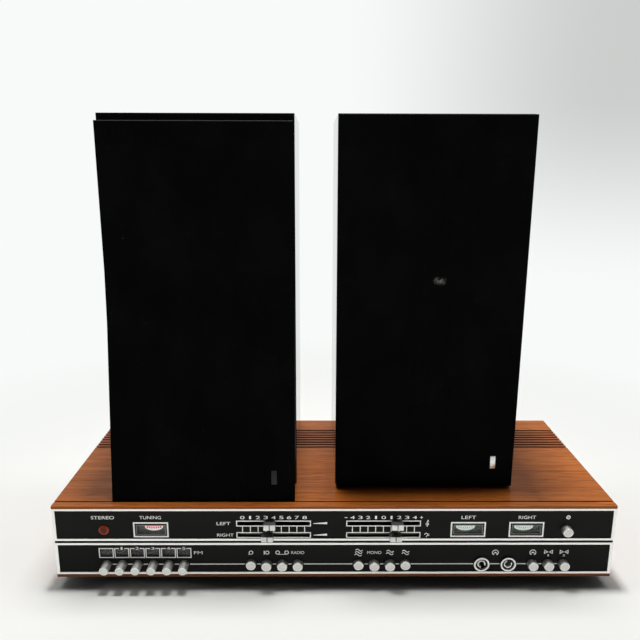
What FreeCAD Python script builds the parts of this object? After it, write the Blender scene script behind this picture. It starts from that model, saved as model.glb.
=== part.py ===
"""Stereo system of the seventies: a teak receiver with two loudspeakers standing on its deck.

Millimetres, +X right, +Y to the back, +Z up. The origin is on the floor under the middle of the whole object.
"""
import FreeCAD, Part
import math
import os
import Sketcher
from types import SimpleNamespace

# Driving sizes in millimetres and degrees, grouped by the piece that they belong to
SIZES = {
    # teak case
    "case_width": 560.0,
    "case_depth": 221.0,
    "board_thickness": 8.0,
    "side_thickness": 10.0,
    "lip_height": 3.1,
    "base_lip_height": 3.3,
    "edge_bevel": 0.6,
    "groove_setback": 9.3,
    "groove_width": 2.2,
    "groove_depth": 2.0,
    "vent_pitch": 7.0,
    "vent_width": 3.2,
    "vent_groove_depth": 4.0,
    "vent_end_margin": 14.0,
    "vent_back_margin": 32.0,
    # fascia panels and their frames
    "panel_height": 30.7,
    "panel_inset": 1.0,
    "fascia_thickness": 3.0,
    "trim_width": 2.1,
    "side_trim_width": 3.0,
    "shadow_gap": 2.6,
    # chassis tray
    "plate_thickness": 1.5,
    "plate_hole_margin": 1.0,
    # rear panel and its sockets
    "rear_thickness": 2.0,
    "rear_inset": 5.0,
    "rear_socket_radius": 8.0,
    "rear_socket_flange": 1.5,
    "rear_socket_flange_rim": 2.0,
    "rear_socket_depth": 14.0,
    "rear_socket_pin_radius": 0.9,
    "rear_socket_pin_circle": 4.5,
    "rear_socket_pin_depth": 9.0,
    "rear_socket_pitch": 32.0,
    "rear_socket_height": 34.0,
    "inlet_width": 26.0,
    "inlet_height": 18.0,
    "inlet_depth": 20.0,
    "inlet_pin_width": 3.0,
    "inlet_pin_gap": 8.0,
    "rear_slot_length": 60.0,
    "rear_slot_width": 3.0,
    "rear_slot_pitch": 7.0,
    # feet and case screws
    "foot_height": 12.0,
    "foot_radius": 12.0,
    "foot_taper": 2.0,
    "foot_side_inset": 45.0,
    "foot_end_inset": 34.0,
    "screw_head_radius": 4.0,
    "screw_head_height": 2.2,
    "screw_radius": 2.0,
    "screw_end": 1.5,
    "screw_side_inset": 30.0,
    "screw_end_inset": 50.0,
    "screw_clearance": 0.1,
    # push buttons
    "button_radius": 5.0,
    "button_length": 6.2,
    "button_travel": 2.3,
    "button_pitch": 15.75,
    "button_clearance": 0.3,
    "button_bevel": 0.5,
    "button_height": 8.45,
    "button_guide": 0.9,
    "button_tail_gap": 0.8,
    "stem_radius": 2.0,
    "stem_length": 20.0,
    "preset_radius": 4.4,
    "preset_length": 13.0,
    "preset_pitch": 15.6,
    "power_length": 7.0,
    # switch banks behind the push buttons
    "switch_depth": 24.0,
    "switch_half_height": 5.0,
    "switch_side_margin": 6.5,
    # sliders and their potentiometers
    "slot_height": 3.4,
    "upper_slot_height": 16.35,
    "lower_slot_height": 3.55,
    "slider_travel": 61.8,
    "slot_end_gap": 2.1,
    "slider_width": 11.9,
    "slider_height": 6.0,
    "slider_reach": 9.0,
    "slider_gap": 0.5,
    "tang_width": 5.0,
    "tang_thickness": 1.6,
    "tang_clearance": 0.3,
    "pot_depth": 12.0,
    "pot_slot_depth": 8.0,
    "pot_half_height": 5.5,
    "pot_end_margin": 6.0,
    "volume_left_shift": -3.9,
    "volume_right_shift": -6.3,
    "treble_shift": 13.5,
    "bass_shift": 12.0,
    # meters, their windows and needles
    "meter_height": 9.55,
    "window_width": 29.7,
    "window_height": 10.7,
    "window_thickness": 1.4,
    "window_inset": 0.3,
    "window_clearance": 0.1,
    "meter_wall": 1.4,
    "meter_front_depth": 6.0,
    "meter_depth": 20.0,
    "needle_pivot_drop": 4.0,
    "needle_length": 8.4,
    "needle_width": 0.6,
    "needle_thickness": 0.5,
    "needle_stand_off": 1.2,
    "needle_hub_radius": 0.8,
    "needle_pin_radius": 0.5,
    "needle_pin_length": 3.0,
    "needle_pin_clearance": 0.08,
    "needle_rest_angle": 40.0,
    # preset windows
    "preset_window_width": 11.6,
    "preset_window_height": 8.0,
    "preset_window_drop": 8.9,
    # stereo lamp
    "lamp_radius": 5.0,
    "lamp_flange": 0.8,
    "lamp_dome": 1.4,
    "lamp_body_radius": 4.0,
    "lamp_body_length": 14.0,
    "seat_clearance": 0.1,
    # headphone sockets
    "socket_pitch": 26.9,
    "socket_ring_radius": 8.2,
    "socket_ring_height": 1.8,
    "socket_bore_radius": 6.5,
    "socket_bore_depth": 7.0,
    "socket_body_radius": 7.4,
    "socket_back_gap": 0.2,
    "socket_tail_radius": 4.0,
    "socket_tail_depth": 8.0,
    "socket_pin_radius": 0.7,
    "socket_pin_circle": 3.2,
    "socket_pin_depth": 4.0,
    # circuit board, tuner module, heat sink and transformer
    "board_length": 260.0,
    "board_depth": 90.0,
    "board_sheet": 1.6,
    "board_stand_off": 7.0,
    "board_pillar_radius": 3.0,
    "board_pillar_inset": 8.0,
    "capacitor_radius": 9.0,
    "capacitor_height": 32.0,
    "capacitor_pitch": 26.0,
    "tuner_width": 96.0,
    "tuner_depth": 55.0,
    "tuner_height": 26.0,
    "tuner_gap": 3.0,
    "sink_width": 150.0,
    "sink_height": 44.0,
    "sink_base": 4.0,
    "sink_fin_depth": 22.0,
    "sink_fin_thickness": 2.0,
    "sink_gap": 1.0,
    "sink_side_gap": 5.0,
    "core_width": 70.0,
    "core_depth": 30.0,
    "core_height": 46.0,
    "coil_width": 46.0,
    "coil_depth": 52.0,
    "coil_height": 32.0,
    # loudspeaker cabinets
    "cabinet_width": 184.0,
    "cabinet_height": 374.0,
    "cabinet_depth": 170.0,
    "cabinet_wall": 14.0,
    "cabinet_round": 2.0,
    "cabinet_setback": 47.0,
    "back_thickness": 8.0,
    "back_inset": 3.0,
    "cabinet_gap": 40.4,
    "lead_socket_radius": 9.0,
    "baffle_thickness": 12.0,
    # woofer and its cone
    "woofer_side_gap": 8.0,
    "woofer_frame_rim": 8.0,
    "woofer_flange": 3.0,
    "woofer_wall": 2.5,
    "woofer_rim_depth": 10.0,
    "woofer_basket_depth": 42.0,
    "magnet_radius": 38.0,
    "magnet_depth": 24.0,
    "pole_radius": 12.0,
    "coil_gap": 2.6,
    "coil_gap_depth": 14.0,
    "cone_clearance": 0.3,
    "cone_travel": 3.0,
    "cone_front_gap": 0.5,
    "cone_neck_gap": 12.0,
    "voice_coil_length": 8.0,
    "cone_thickness": 0.8,
    "surround_width": 10.0,
    "surround_crest": 1.5,
    "dust_cap_radius": 20.0,
    "dust_cap_crown": 6.0,
    # tweeter
    "tweeter_frame_radius": 42.0,
    "tweeter_flange": 3.0,
    "tweeter_body_radius": 32.0,
    "tweeter_body_depth": 34.0,
    "tweeter_mouth_radius": 26.0,
    "tweeter_mouth_depth": 9.0,
    "tweeter_dome_radius": 10.0,
    "tweeter_dome_crown": 5.0,
    # grilles
    "grille_side_margin": 1.0,
    "grille_foot_gap": 2.5,
    "grille_frame_depth": 9.2,
    "grille_frame_rim": 16.0,
    "cloth_thickness": 0.8,
    "grille_gap": 0.3,
    "grille_top_drop": 1.0,
    "left_grille_bend": 25.0,
    "left_grille_foot_out": 28.0,
    # every cutting tool runs past the faces that it cuts by this much
    "overrun": 2.0,
}

VENT_COUNT = 8
PRESET_COUNT = 6
SOURCE_COUNT = 4
MODE_COUNT = 4
SPEAKER_BUTTON_COUNT = 3
# buttons that are latched in, counted from the left
LATCHED_SOURCES = (1,)
LATCHED_MODES = (1, 4)
REAR_SOCKET_COUNT = 6
REAR_SLOT_COUNT = 5
CAPACITOR_COUNT = 4
SINK_FIN_COUNT = 20
PIN_COUNT = 5

# Places across the receiver, as shares of half its width
PLACE_SHARES = {
    "presets_share": -0.6797,
    "sources_share": -0.2163,
    "modes_share": 0.1711,
    "sockets_share": 0.5795,
    "speakers_share": 0.7709,
    "power_share": 0.8264,
    "volume_share": -0.2168,
    "tone_share": 0.1732,
    "tuning_meter_share": -0.6539,
    "left_meter_share": 0.4761,
    "right_meter_share": 0.6843,
    "lamp_share": -0.8207,
    "loudspeakers_share": -0.0671,
    "circuit_board_share": 0.107,
    "transformer_share": -0.714,
    "rear_sockets_share": 0.071,
    "mains_inlet_share": -0.679,
}
# Heights in a loudspeaker, as shares of the cabinet's height
WOOFER_HEIGHT_SHARE = 0.364
TWEETER_HEIGHT_SHARE = 0.757
LEAD_SOCKET_HEIGHT_SHARE = 0.35
# Heights of the warped left grille, as shares of the height of a flat one
FLAT_PART_SHARE = 0.445
LEANING_PART_SHARE = 0.544
# Points on rounded outlines, as shares of the width or crown that they follow
ROLL_SHARE = 0.3
DOME_RADIUS_SHARE = 0.7
DOME_CROWN_SHARE = 0.65

doc = FreeCAD.newDocument("stereo_system")
sheet = doc.addObject("Spreadsheet::Sheet", "Sizes")
for row, (alias, size) in enumerate(SIZES.items(), start=1):
    sheet.set(f"A{row}", alias)
    sheet.set(f"B{row}", str(size))
    sheet.setAlias(f"B{row}", alias)
doc.recompute()


class Formula:
    """A size worked out from cells: its text is bound to the document, its number serves Python."""

    def __init__(self, text, number):
        self.text = text
        self.number = number

    @staticmethod
    def of(size):
        return size if isinstance(size, Formula) else Formula(repr(size), size)

    def __add__(self, other):
        other = Formula.of(other)
        return Formula(f"({self.text} + {other.text})", self.number + other.number)

    def __sub__(self, other):
        other = Formula.of(other)
        return Formula(f"({self.text} - {other.text})", self.number - other.number)

    def __mul__(self, other):
        other = Formula.of(other)
        return Formula(f"({self.text} * {other.text})", self.number * other.number)

    def __truediv__(self, other):
        other = Formula.of(other)
        return Formula(f"({self.text} / {other.text})", self.number / other.number)

    def __neg__(self):
        return Formula(f"(-{self.text})", -self.number)

    def __radd__(self, other):
        return Formula.of(other) + self

    def __rmul__(self, other):
        return Formula.of(other) * self


def cell(alias):
    """The formula of one cell of the sheet."""
    return Formula(f"Sizes.{alias}", float(sheet.get(alias)))


s = SimpleNamespace(**{alias: cell(alias) for alias in SIZES})
NODES = {}


def bind(item, name, size):
    """Binds one property of an object to a formula."""
    item.setExpression(name, Formula.of(size).text)


def place(item, x, y, z):
    """Binds an object's place to three formulas."""
    for axis, size in zip("xyz", (x, y, z)):
        bind(item, f"Placement.Base.{axis}", size)
    return item


def turn(item, axis, angle):
    """Binds an object's turn about an axis through its own origin to a formula."""
    item.Placement = FreeCAD.Placement(FreeCAD.Vector(), FreeCAD.Rotation(axis, 1))
    bind(item, "Placement.Rotation.Angle", angle)


def span(middle, size):
    """The two ends of a stretch about its middle."""
    return middle - size / 2, middle + size / 2


def block(x, y, z):
    """A box between two formulas on each axis."""
    box = doc.addObject("Part::Box", "Block")
    for name, (low, high) in zip(("Length", "Width", "Height"), (x, y, z)):
        bind(box, name, high - low)
    return place(box, x[0], y[0], z[0])


def rod(x, z, radius, y):
    """A cylinder along Y."""
    pin = doc.addObject("Part::Cylinder", "Rod")
    pin.Placement = FreeCAD.Placement(FreeCAD.Vector(), FreeCAD.Rotation(FreeCAD.Vector(1, 0, 0), -90))
    bind(pin, "Radius", radius)
    bind(pin, "Height", y[1] - y[0])
    return place(pin, x, y[0], z)


def post(x, y, radius, z):
    """A cylinder along Z."""
    pin = doc.addObject("Part::Cylinder", "Post")
    bind(pin, "Radius", radius)
    bind(pin, "Height", z[1] - z[0])
    return place(pin, x, y, z[0])


def group(items):
    """Separate solids that belong to one node."""
    bundle = doc.addObject("Part::Compound", "Group")
    bundle.Links = items
    return bundle


def fused(items):
    """Touching solids that are one piece."""
    union = doc.addObject("Part::MultiFuse", "Fused")
    union.Shapes = items
    return union


def cut(base, tools):
    """A piece with holes."""
    result = doc.addObject("Part::Cut", "Holed")
    result.Base = base
    result.Tool = tools[0] if len(tools) == 1 else group(tools)
    return result


def node(name, item):
    """Names a finished sub-part."""
    item.Label = name
    NODES[name] = item
    return item


def outline(body, role, loops, lift=None):
    """A sketch of closed straight-edged loops whose corners are all bound to formulas."""
    sketch = body.newObject("Sketcher::SketchObject", "Outline")
    plane = next(item for item in body.Origin.OriginFeatures if item.Role == role)
    sketch.AttachmentSupport = (plane, [""])
    sketch.MapMode = "FlatFace"
    if lift is not None:
        bind(sketch, "AttachmentOffset.Base.z", lift)
    for points in loops:
        points = [(Formula.of(across), Formula.of(along)) for across, along in points]
        corners = [FreeCAD.Vector(across.number, along.number) for across, along in points]
        first = sketch.GeometryCount
        for corner, following in zip(corners, corners[1:] + corners[:1]):
            sketch.addGeometry(Part.LineSegment(corner, following))
        for number, point in enumerate(points):
            before = first + (number - 1) % len(points)
            sketch.addConstraint(Sketcher.Constraint("Coincident", before, 2, first + number, 1))
            for kind, axis, size in zip(("DistanceX", "DistanceY"), (-2, -1), point):
                if size.text == "0":
                    sketch.addConstraint(Sketcher.Constraint("PointOnObject", first + number, 1, axis))
                    continue
                rule = Sketcher.Constraint(kind, -1, 1, first + number, 1, size.number)
                bind(sketch, f"Constraints[{sketch.addConstraint(rule)}]", size)
    return sketch


def new_body(name):
    return doc.addObject("PartDesign::Body", name)


def turned(name, points):
    """A round piece about the Y axis, from an outline of radius and depth."""
    body = new_body(name)
    shape = body.newObject("PartDesign::Revolution", "Turned")
    shape.Profile = outline(body, "XY_Plane", [points])
    shape.ReferenceAxis = (shape.Profile[0], ["V_Axis"])
    shape.Angle = 360
    return body


def padded(body, sketch, length, midplane=False):
    """A straight extrusion of a sketch."""
    pad = body.newObject("PartDesign::Pad", "Padded")
    pad.Profile = sketch
    pad.Midplane = midplane
    bind(pad, "Length", length)
    return pad


def rectangle(across, along):
    """The four corners of a rectangle."""
    return [(across[0], along[0]), (across[1], along[0]), (across[1], along[1]), (across[0], along[1])]


# Planes and heights that the pieces share
half_width = s.case_width / 2
across = {name.removesuffix("_share"): half_width * share for name, share in PLACE_SHARES.items()}
front = (s.preset_length - s.panel_inset - s.case_depth) / 2
back = front + s.case_depth
panel_face = front + s.panel_inset
panel_back = panel_face + s.fascia_thickness
button_tail = s.fascia_thickness + s.button_guide
trim_back = panel_face + button_tail + s.button_travel + s.button_tail_gap
plate_back = trim_back + s.plate_thickness
case_bottom = s.foot_height
base_lip_top = case_bottom + s.base_lip_height
lower_panel_bottom = base_lip_top + s.trim_width
lower_panel_top = lower_panel_bottom + s.panel_height
lower_frame_top = lower_panel_top + s.trim_width
upper_frame_bottom = lower_frame_top + s.shadow_gap
upper_panel_bottom = upper_frame_bottom + s.trim_width
upper_panel_top = upper_panel_bottom + s.panel_height
upper_frame_top = upper_panel_top + s.trim_width
deck = upper_frame_top + s.lip_height
inner_bottom = case_bottom + s.board_thickness
inner_top = deck - s.board_thickness
inner_half_width = half_width - s.side_thickness
rear_face = back - s.rear_inset
rear_inside = rear_face - s.rear_thickness
tray_top = inner_bottom + s.plate_thickness
button_axis = lower_panel_bottom + s.button_height
meter_axis = upper_panel_bottom + s.meter_height
full_width = (-half_width, half_width)


def board(name, points, width):
    """A board with one section over its whole width."""
    body = new_body(name)
    padded(body, outline(body, "YZ_Plane", [points]), width, midplane=True)
    return body


# Top board: a lip over the fascia frame, a groove behind the front edge, sawn ventilation slots
groove = front + s.groove_setback
top_section = [
    (front, upper_frame_top),
    (trim_back, upper_frame_top),
    (trim_back, inner_top),
    (back, inner_top),
    (back, deck),
    (groove + s.groove_width / 2, deck),
    (groove, deck - s.groove_depth),
    (groove - s.groove_width / 2, deck),
    (front + s.edge_bevel, deck),
    (front, deck - s.edge_bevel),
]
vent_rows = [span(back - s.vent_back_margin - s.vent_width / 2 - s.vent_pitch * number, s.vent_width)
             for number in range(VENT_COUNT)]
vent_floor = deck - s.vent_groove_depth
past_width = (-half_width - s.overrun, half_width + s.overrun)
vent_half_length = inner_half_width - s.vent_end_margin
grooves = [block(past_width, row, (vent_floor, deck + s.overrun)) for row in vent_rows]
slots = [block((-vent_half_length, vent_half_length), row, (inner_top - s.overrun, vent_floor))
         for row in vent_rows]
node("top_board", cut(cut(board("TopBoard", top_section, s.case_width), grooves), slots))

# Side panels: between the boards
case_inside = (inner_bottom, inner_top)
node("side_panels", group([block((-half_width, -inner_half_width), (trim_back, back), case_inside),
                           block((inner_half_width, half_width), (trim_back, back), case_inside)]))

# Base board: drilled for the chassis screws
base_section = [(front, case_bottom), (back, case_bottom), (back, inner_bottom), (trim_back, inner_bottom),
                (trim_back, base_lip_top), (front, base_lip_top)]
screw_places = [(x, y) for x in (-half_width + s.screw_side_inset, half_width - s.screw_side_inset)
                for y in (front + s.screw_end_inset, back - s.screw_end_inset)]
screw_hole = s.screw_radius + s.screw_clearance
screw_run = (case_bottom - s.overrun, tray_top + s.overrun)
screw_drills = [post(x, y, screw_hole, screw_run) for x, y in screw_places]
node("base_board", cut(board("BaseBoard", base_section, s.case_width), screw_drills))

# Fascia frames: eight aluminium bars
side_trims = [(-half_width, -half_width + s.side_trim_width), (half_width - s.side_trim_width, half_width)]
trim_rows = [(base_lip_top, lower_panel_bottom), (lower_panel_top, lower_frame_top),
             (upper_frame_bottom, upper_panel_bottom), (upper_panel_top, upper_frame_top)]
panel_rows = [(lower_panel_bottom, lower_panel_top), (upper_panel_bottom, upper_panel_top)]
trim_bars = [block(full_width, (front, trim_back), row) for row in trim_rows]
trim_bars += [block(side, (front, trim_back), row) for side in side_trims for row in panel_rows]
node("fascia_trims", group(trim_bars))


def row_of(middle, pitch, count):
    """Evenly spaced places about a middle."""
    return [middle + pitch * (number - (count - 1) / 2) for number in range(count)]


# Where the controls and windows stand on the two fascia panels
preset_places = row_of(across["presets"], s.preset_pitch, PRESET_COUNT)
source_places = row_of(across["sources"], s.button_pitch, SOURCE_COUNT)
mode_places = row_of(across["modes"], s.button_pitch, MODE_COUNT)
speaker_places = row_of(across["speakers"], s.button_pitch, SPEAKER_BUTTON_COUNT)
socket_places = row_of(across["sockets"], s.socket_pitch, 2)
meter_places = {name: across[name] for name in ("tuning_meter", "left_meter", "right_meter")}
slot_length = s.slider_travel + s.tang_width + 2 * s.slot_end_gap
slot_rows = {"upper": upper_panel_bottom + s.upper_slot_height,
             "lower": upper_panel_bottom + s.lower_slot_height}
slot_places = [(across[name], height) for name in ("volume", "tone") for height in slot_rows.values()]
preset_window_axis = lower_panel_top - s.preset_window_drop
panel_half_width = half_width - s.side_trim_width
panel_span = (-panel_half_width, panel_half_width)
through_fascia = (panel_face - s.overrun, panel_back + s.overrun)
through_plate = (trim_back - s.overrun, plate_back + s.overrun)

# Upper fascia: slider slots, meter windows, lamp and power button
upper_cuts = [block(span(x, slot_length), through_fascia, span(z, s.slot_height)) for x, z in slot_places]
upper_cuts += [block(span(x, s.window_width), through_fascia, span(meter_axis, s.window_height))
               for x in meter_places.values()]
upper_cuts += [rod(across["lamp"], meter_axis, s.lamp_body_radius + s.seat_clearance, through_fascia),
               rod(across["power"], meter_axis, s.button_radius + s.button_clearance, through_fascia)]
fascia_depth = (panel_face, panel_back)
node("upper_fascia", cut(block(panel_span, fascia_depth, panel_rows[1]), upper_cuts))

# Lower fascia: button holes, preset windows and headphone sockets
lower_cuts = [rod(x, button_axis, s.preset_radius + s.button_clearance, through_fascia)
              for x in preset_places]
lower_cuts += [rod(x, button_axis, s.button_radius + s.button_clearance, through_fascia)
               for x in source_places + mode_places + speaker_places]
lower_cuts += [rod(x, button_axis, s.socket_body_radius + s.seat_clearance, through_fascia)
               for x in socket_places]
lower_cuts += [block(span(x, s.preset_window_width), through_fascia,
                     span(preset_window_axis, s.preset_window_height)) for x in preset_places]
node("lower_fascia", cut(block(panel_span, fascia_depth, panel_rows[0]), lower_cuts))

# Display windows: clear plates set into the fascia panels
window_depth = (panel_face + s.window_inset, panel_face + s.window_inset + s.window_thickness)
play = 2 * s.window_clearance
windows = [block(span(x, s.window_width - play), window_depth, span(meter_axis, s.window_height - play))
           for x in meter_places.values()]
windows += [block(span(x, s.preset_window_width - play), window_depth,
                  span(preset_window_axis, s.preset_window_height - play)) for x in preset_places]
node("display_windows", group(windows))

# Chassis tray: a folded sheet whose front plate carries switches, potentiometers and frames
meter_case_width = s.window_width + 2 * s.meter_wall
meter_case_height = s.window_height + 2 * s.meter_wall
stem_hole = s.stem_radius + s.plate_hole_margin
margin = 2 * s.plate_hole_margin
inner_width = (-inner_half_width, inner_half_width)
tray = fused([block(inner_width, (trim_back, plate_back), case_inside),
              block(inner_width, (plate_back, rear_inside), (inner_bottom, tray_top))])
tray_cuts = [rod(x, button_axis, stem_hole, through_plate)
             for x in preset_places + source_places + mode_places + speaker_places]
tray_cuts += [rod(x, button_axis, s.socket_tail_radius + s.plate_hole_margin, through_plate)
              for x in socket_places]
tray_cuts += [rod(across["power"], meter_axis, stem_hole, through_plate),
              rod(across["lamp"], meter_axis, s.lamp_body_radius + s.plate_hole_margin, through_plate)]
meter_hole_rise = span(meter_axis, meter_case_height + margin)
tray_cuts += [block(span(x, meter_case_width + margin), through_plate, meter_hole_rise)
              for x in meter_places.values()]
tray_cuts += [block(span(x, slot_length), through_plate, span(z, s.slot_height)) for x, z in slot_places]
tray_cuts += [post(x, y, screw_hole, screw_run) for x, y in screw_places]
node("chassis_tray", cut(tray, tray_cuts))


def push_button(name, x, z, radius, length, latched=False):
    """A turned cap on a stem that runs back into its switch."""
    stem_end = button_tail + s.stem_length
    body = turned(name, [(0, -length), (radius - s.button_bevel, -length), (radius, s.button_bevel - length),
                         (radius, button_tail), (s.stem_radius, button_tail), (s.stem_radius, stem_end),
                         (0, stem_end)])
    place(body, x, panel_face + s.button_travel if latched else panel_face, z)
    return node(name, body)


# Push buttons: six long presets, then source, mode, speaker and power buttons
for number, x in enumerate(preset_places, start=1):
    push_button(f"preset_button_{number}", x, button_axis, s.preset_radius, s.preset_length)
button_rows = [("source", source_places, LATCHED_SOURCES), ("mode", mode_places, LATCHED_MODES),
               ("speaker", speaker_places, ())]
for family, places, latched in button_rows:
    for number, x in enumerate(places, start=1):
        push_button(f"{family}_button_{number}", x, button_axis, s.button_radius, s.button_length,
                    number in latched)
push_button("power_button", across["power"], meter_axis, s.button_radius, s.power_length)

# Switch banks: one block behind each row of buttons, drilled for the stems
switch_run = (plate_back, plate_back + s.switch_depth)
through_switch = (plate_back - s.overrun, plate_back + s.switch_depth + s.overrun)
stem_bore = s.stem_radius + s.button_clearance


def switch_bank(places, z, bottom):
    body = block((places[0] - s.switch_side_margin, places[-1] + s.switch_side_margin), switch_run,
                 (bottom, z + s.switch_half_height))
    return cut(body, [rod(x, z, stem_bore, through_switch) for x in places])


banks = [switch_bank(places, button_axis, tray_top)
         for places in (preset_places, source_places, mode_places, speaker_places)]
banks.append(switch_bank([across["power"]], meter_axis, meter_axis - s.switch_half_height))
node("switch_banks", group(banks))

# Slide potentiometers: one slotted block behind each slider slot
pot_run = (plate_back, plate_back + s.pot_depth)
pot_slot_run = (plate_back - s.overrun, plate_back + s.pot_slot_depth)
pots = [cut(block(span(x, slot_length + 2 * s.pot_end_margin), pot_run, span(z, 2 * s.pot_half_height)),
            [block(span(x, slot_length), pot_slot_run, span(z, s.tang_thickness + 2 * s.tang_clearance))])
        for x, z in slot_places]
node("slide_potentiometers", group(pots))

# Sliders: a cap in front of the panel on a flat tang that reaches into its potentiometer
cap_run = (panel_face - s.slider_reach, panel_face - s.slider_gap)
tang_run = (panel_face - s.slider_gap, plate_back + s.pot_slot_depth - s.tang_clearance)
sliders = {
    "volume_slider_left": (across["volume"] + s.volume_left_shift, slot_rows["upper"]),
    "volume_slider_right": (across["volume"] + s.volume_right_shift, slot_rows["lower"]),
    "treble_slider": (across["tone"] + s.treble_shift, slot_rows["upper"]),
    "bass_slider": (across["tone"] + s.bass_shift, slot_rows["lower"]),
}
for name, (x, z) in sliders.items():
    node(name, fused([block(span(x, s.slider_width), cap_run, span(z, s.slider_height)),
                      block(span(x, s.tang_width), tang_run, span(z, s.tang_thickness))]))

# Meters: a case with the dial at its back, and a needle on a pin in the dial
dial = panel_back + s.meter_front_depth
pivot_axis = meter_axis - s.needle_pivot_drop
needle_face = dial - s.needle_stand_off
pivot_bore = s.needle_pin_radius + s.needle_pin_clearance
cases = []
for x in meter_places.values():
    case = block(span(x, meter_case_width), (panel_back, panel_back + s.meter_depth),
                 span(meter_axis, meter_case_height))
    cavity = block(span(x, s.window_width), (panel_back - s.overrun, dial), span(meter_axis, s.window_height))
    pivot_hole = rod(x, pivot_axis, pivot_bore, (dial, dial + s.needle_pin_length + s.needle_stand_off))
    cases.append(cut(cut(case, [cavity]), [pivot_hole]))
node("meter_cases", group(cases))


def needle(name, x):
    """A blade on a square hub, with a round pivot pin behind it, leaning to the low end of its dial."""
    body = new_body(name)
    half, hub = s.needle_width / 2, s.needle_hub_radius
    tip = s.needle_length
    blade = [(-hub, -hub), (hub, -hub), (hub, hub), (half, hub), (half, tip), (-half, tip),
             (-half, hub), (-hub, hub)]
    padded(body, outline(body, "XZ_Plane", [blade]), s.needle_thickness)
    circle = outline(body, "XZ_Plane", [])
    circle.addGeometry(Part.Circle(FreeCAD.Vector(), FreeCAD.Vector(0, 0, 1), s.needle_pin_radius.number))
    circle.addConstraint(Sketcher.Constraint("Coincident", 0, 3, -1, 1))
    rule = circle.addConstraint(Sketcher.Constraint("Radius", 0, s.needle_pin_radius.number))
    bind(circle, f"Constraints[{rule}]", s.needle_pin_radius)
    padded(body, circle, s.needle_stand_off + s.needle_pin_length).Reversed = True
    turn(body, FreeCAD.Vector(0, 1, 0), -s.needle_rest_angle)
    return node(name, place(body, x, needle_face, pivot_axis))


for meter, x in meter_places.items():
    needle(f"{meter}_needle", x)

# Stereo lamp: a domed lens seated on the panel, with its holder behind
shoulder = (s.lamp_radius * DOME_RADIUS_SHARE, -s.lamp_flange - s.lamp_dome * DOME_CROWN_SHARE)
lamp = turned("StereoLamp", [(0, -s.lamp_flange - s.lamp_dome), shoulder, (s.lamp_radius, -s.lamp_flange),
                             (s.lamp_radius, 0), (s.lamp_body_radius, 0),
                             (s.lamp_body_radius, s.lamp_body_length), (0, s.lamp_body_length)])
node("stereo_lamp", place(lamp, across["lamp"], panel_face, meter_axis))


def pin_drills(x, z, circle, radius, y):
    """Round pin holes on the upper half of a circle."""
    turns = [math.pi * number / (PIN_COUNT - 1) for number in range(PIN_COUNT)]
    return [rod(x + circle * math.cos(angle), z + circle * math.sin(angle), radius, y) for angle in turns]


# Headphone sockets: a ring on the panel round a bore with five pin holes in its floor
socket_front = -s.socket_ring_height
socket_floor = s.socket_bore_depth - s.socket_ring_height
socket_back = trim_back - panel_face - s.socket_back_gap
tail_end = socket_back + s.socket_tail_depth
bore, ring = s.socket_bore_radius, s.socket_ring_radius
sleeve, tail = s.socket_body_radius, s.socket_tail_radius
socket_section = [(bore, socket_front), (ring, socket_front), (ring, 0), (sleeve, 0), (sleeve, socket_back),
                  (tail, socket_back), (tail, tail_end), (0, tail_end), (0, socket_floor),
                  (bore, socket_floor)]
sockets = []
for x in socket_places:
    shell = turned("HeadphoneSocket", socket_section)
    place(shell, x, panel_face, button_axis)
    pin_run = (panel_face + socket_floor - s.overrun, panel_face + socket_floor + s.socket_pin_depth)
    sockets.append(cut(shell, pin_drills(x, button_axis, s.socket_pin_circle, s.socket_pin_radius, pin_run)))
node("headphone_sockets", group(sockets))

# Tuner module: a screened box behind the preset switches
bank_back = plate_back + s.switch_depth
tuner_front = bank_back + s.tuner_gap
tuner_back = tuner_front + s.tuner_depth
node("tuner_module", block(span(across["presets"], s.tuner_width), (tuner_front, tuner_back),
                           (tray_top, tray_top + s.tuner_height)))

# Heat sink: a finned extrusion under the ventilation slots
sink_middle = inner_half_width - s.sink_side_gap - s.sink_width / 2
fins_end = rear_face - s.rear_socket_depth - s.sink_gap
sink_face = fins_end - s.sink_fin_depth
sink_front = sink_face - s.sink_base
sink_rise = (tray_top, tray_top + s.sink_height)
fin_pitch = (s.sink_width - s.sink_fin_thickness) / (SINK_FIN_COUNT - 1)
fins = [block(span(x, s.sink_fin_thickness), (sink_face, fins_end), sink_rise)
        for x in row_of(sink_middle, fin_pitch, SINK_FIN_COUNT)]
sink_base = block(span(sink_middle, s.sink_width), (sink_front, sink_face), sink_rise)
node("heat_sink", fused([sink_base] + fins))

# Power transformer: a laminated core through its coil
transformer_middle = (tuner_back + rear_inside - s.inlet_depth) / 2
coil_bottom = tray_top + (s.core_height - s.coil_height) / 2
core = block(span(across["transformer"], s.core_width), span(transformer_middle, s.core_depth),
             (tray_top, tray_top + s.core_height))
coil = block(span(across["transformer"], s.coil_width), span(transformer_middle, s.coil_depth),
             (coil_bottom, coil_bottom + s.coil_height))
node("power_transformer", fused([core, coil]))

# Circuit board: on four pillars, with a row of capacitors
board_middle = (bank_back + sink_front) / 2
board_bottom = tray_top + s.board_stand_off
board_top = board_bottom + s.board_sheet
board_x = span(across["circuit_board"], s.board_length)
board_y = span(board_middle, s.board_depth)
pillars = [post(x, y, s.board_pillar_radius, (tray_top, board_bottom))
           for x in (board_x[0] + s.board_pillar_inset, board_x[1] - s.board_pillar_inset)
           for y in (board_y[0] + s.board_pillar_inset, board_y[1] - s.board_pillar_inset)]
capacitors = [post(x, board_middle, s.capacitor_radius, (board_top, board_top + s.capacitor_height))
              for x in row_of(across["circuit_board"], s.capacitor_pitch, CAPACITOR_COUNT)]
node("circuit_board", fused([block(board_x, board_y, (board_bottom, board_top))] + pillars + capacitors))


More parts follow.
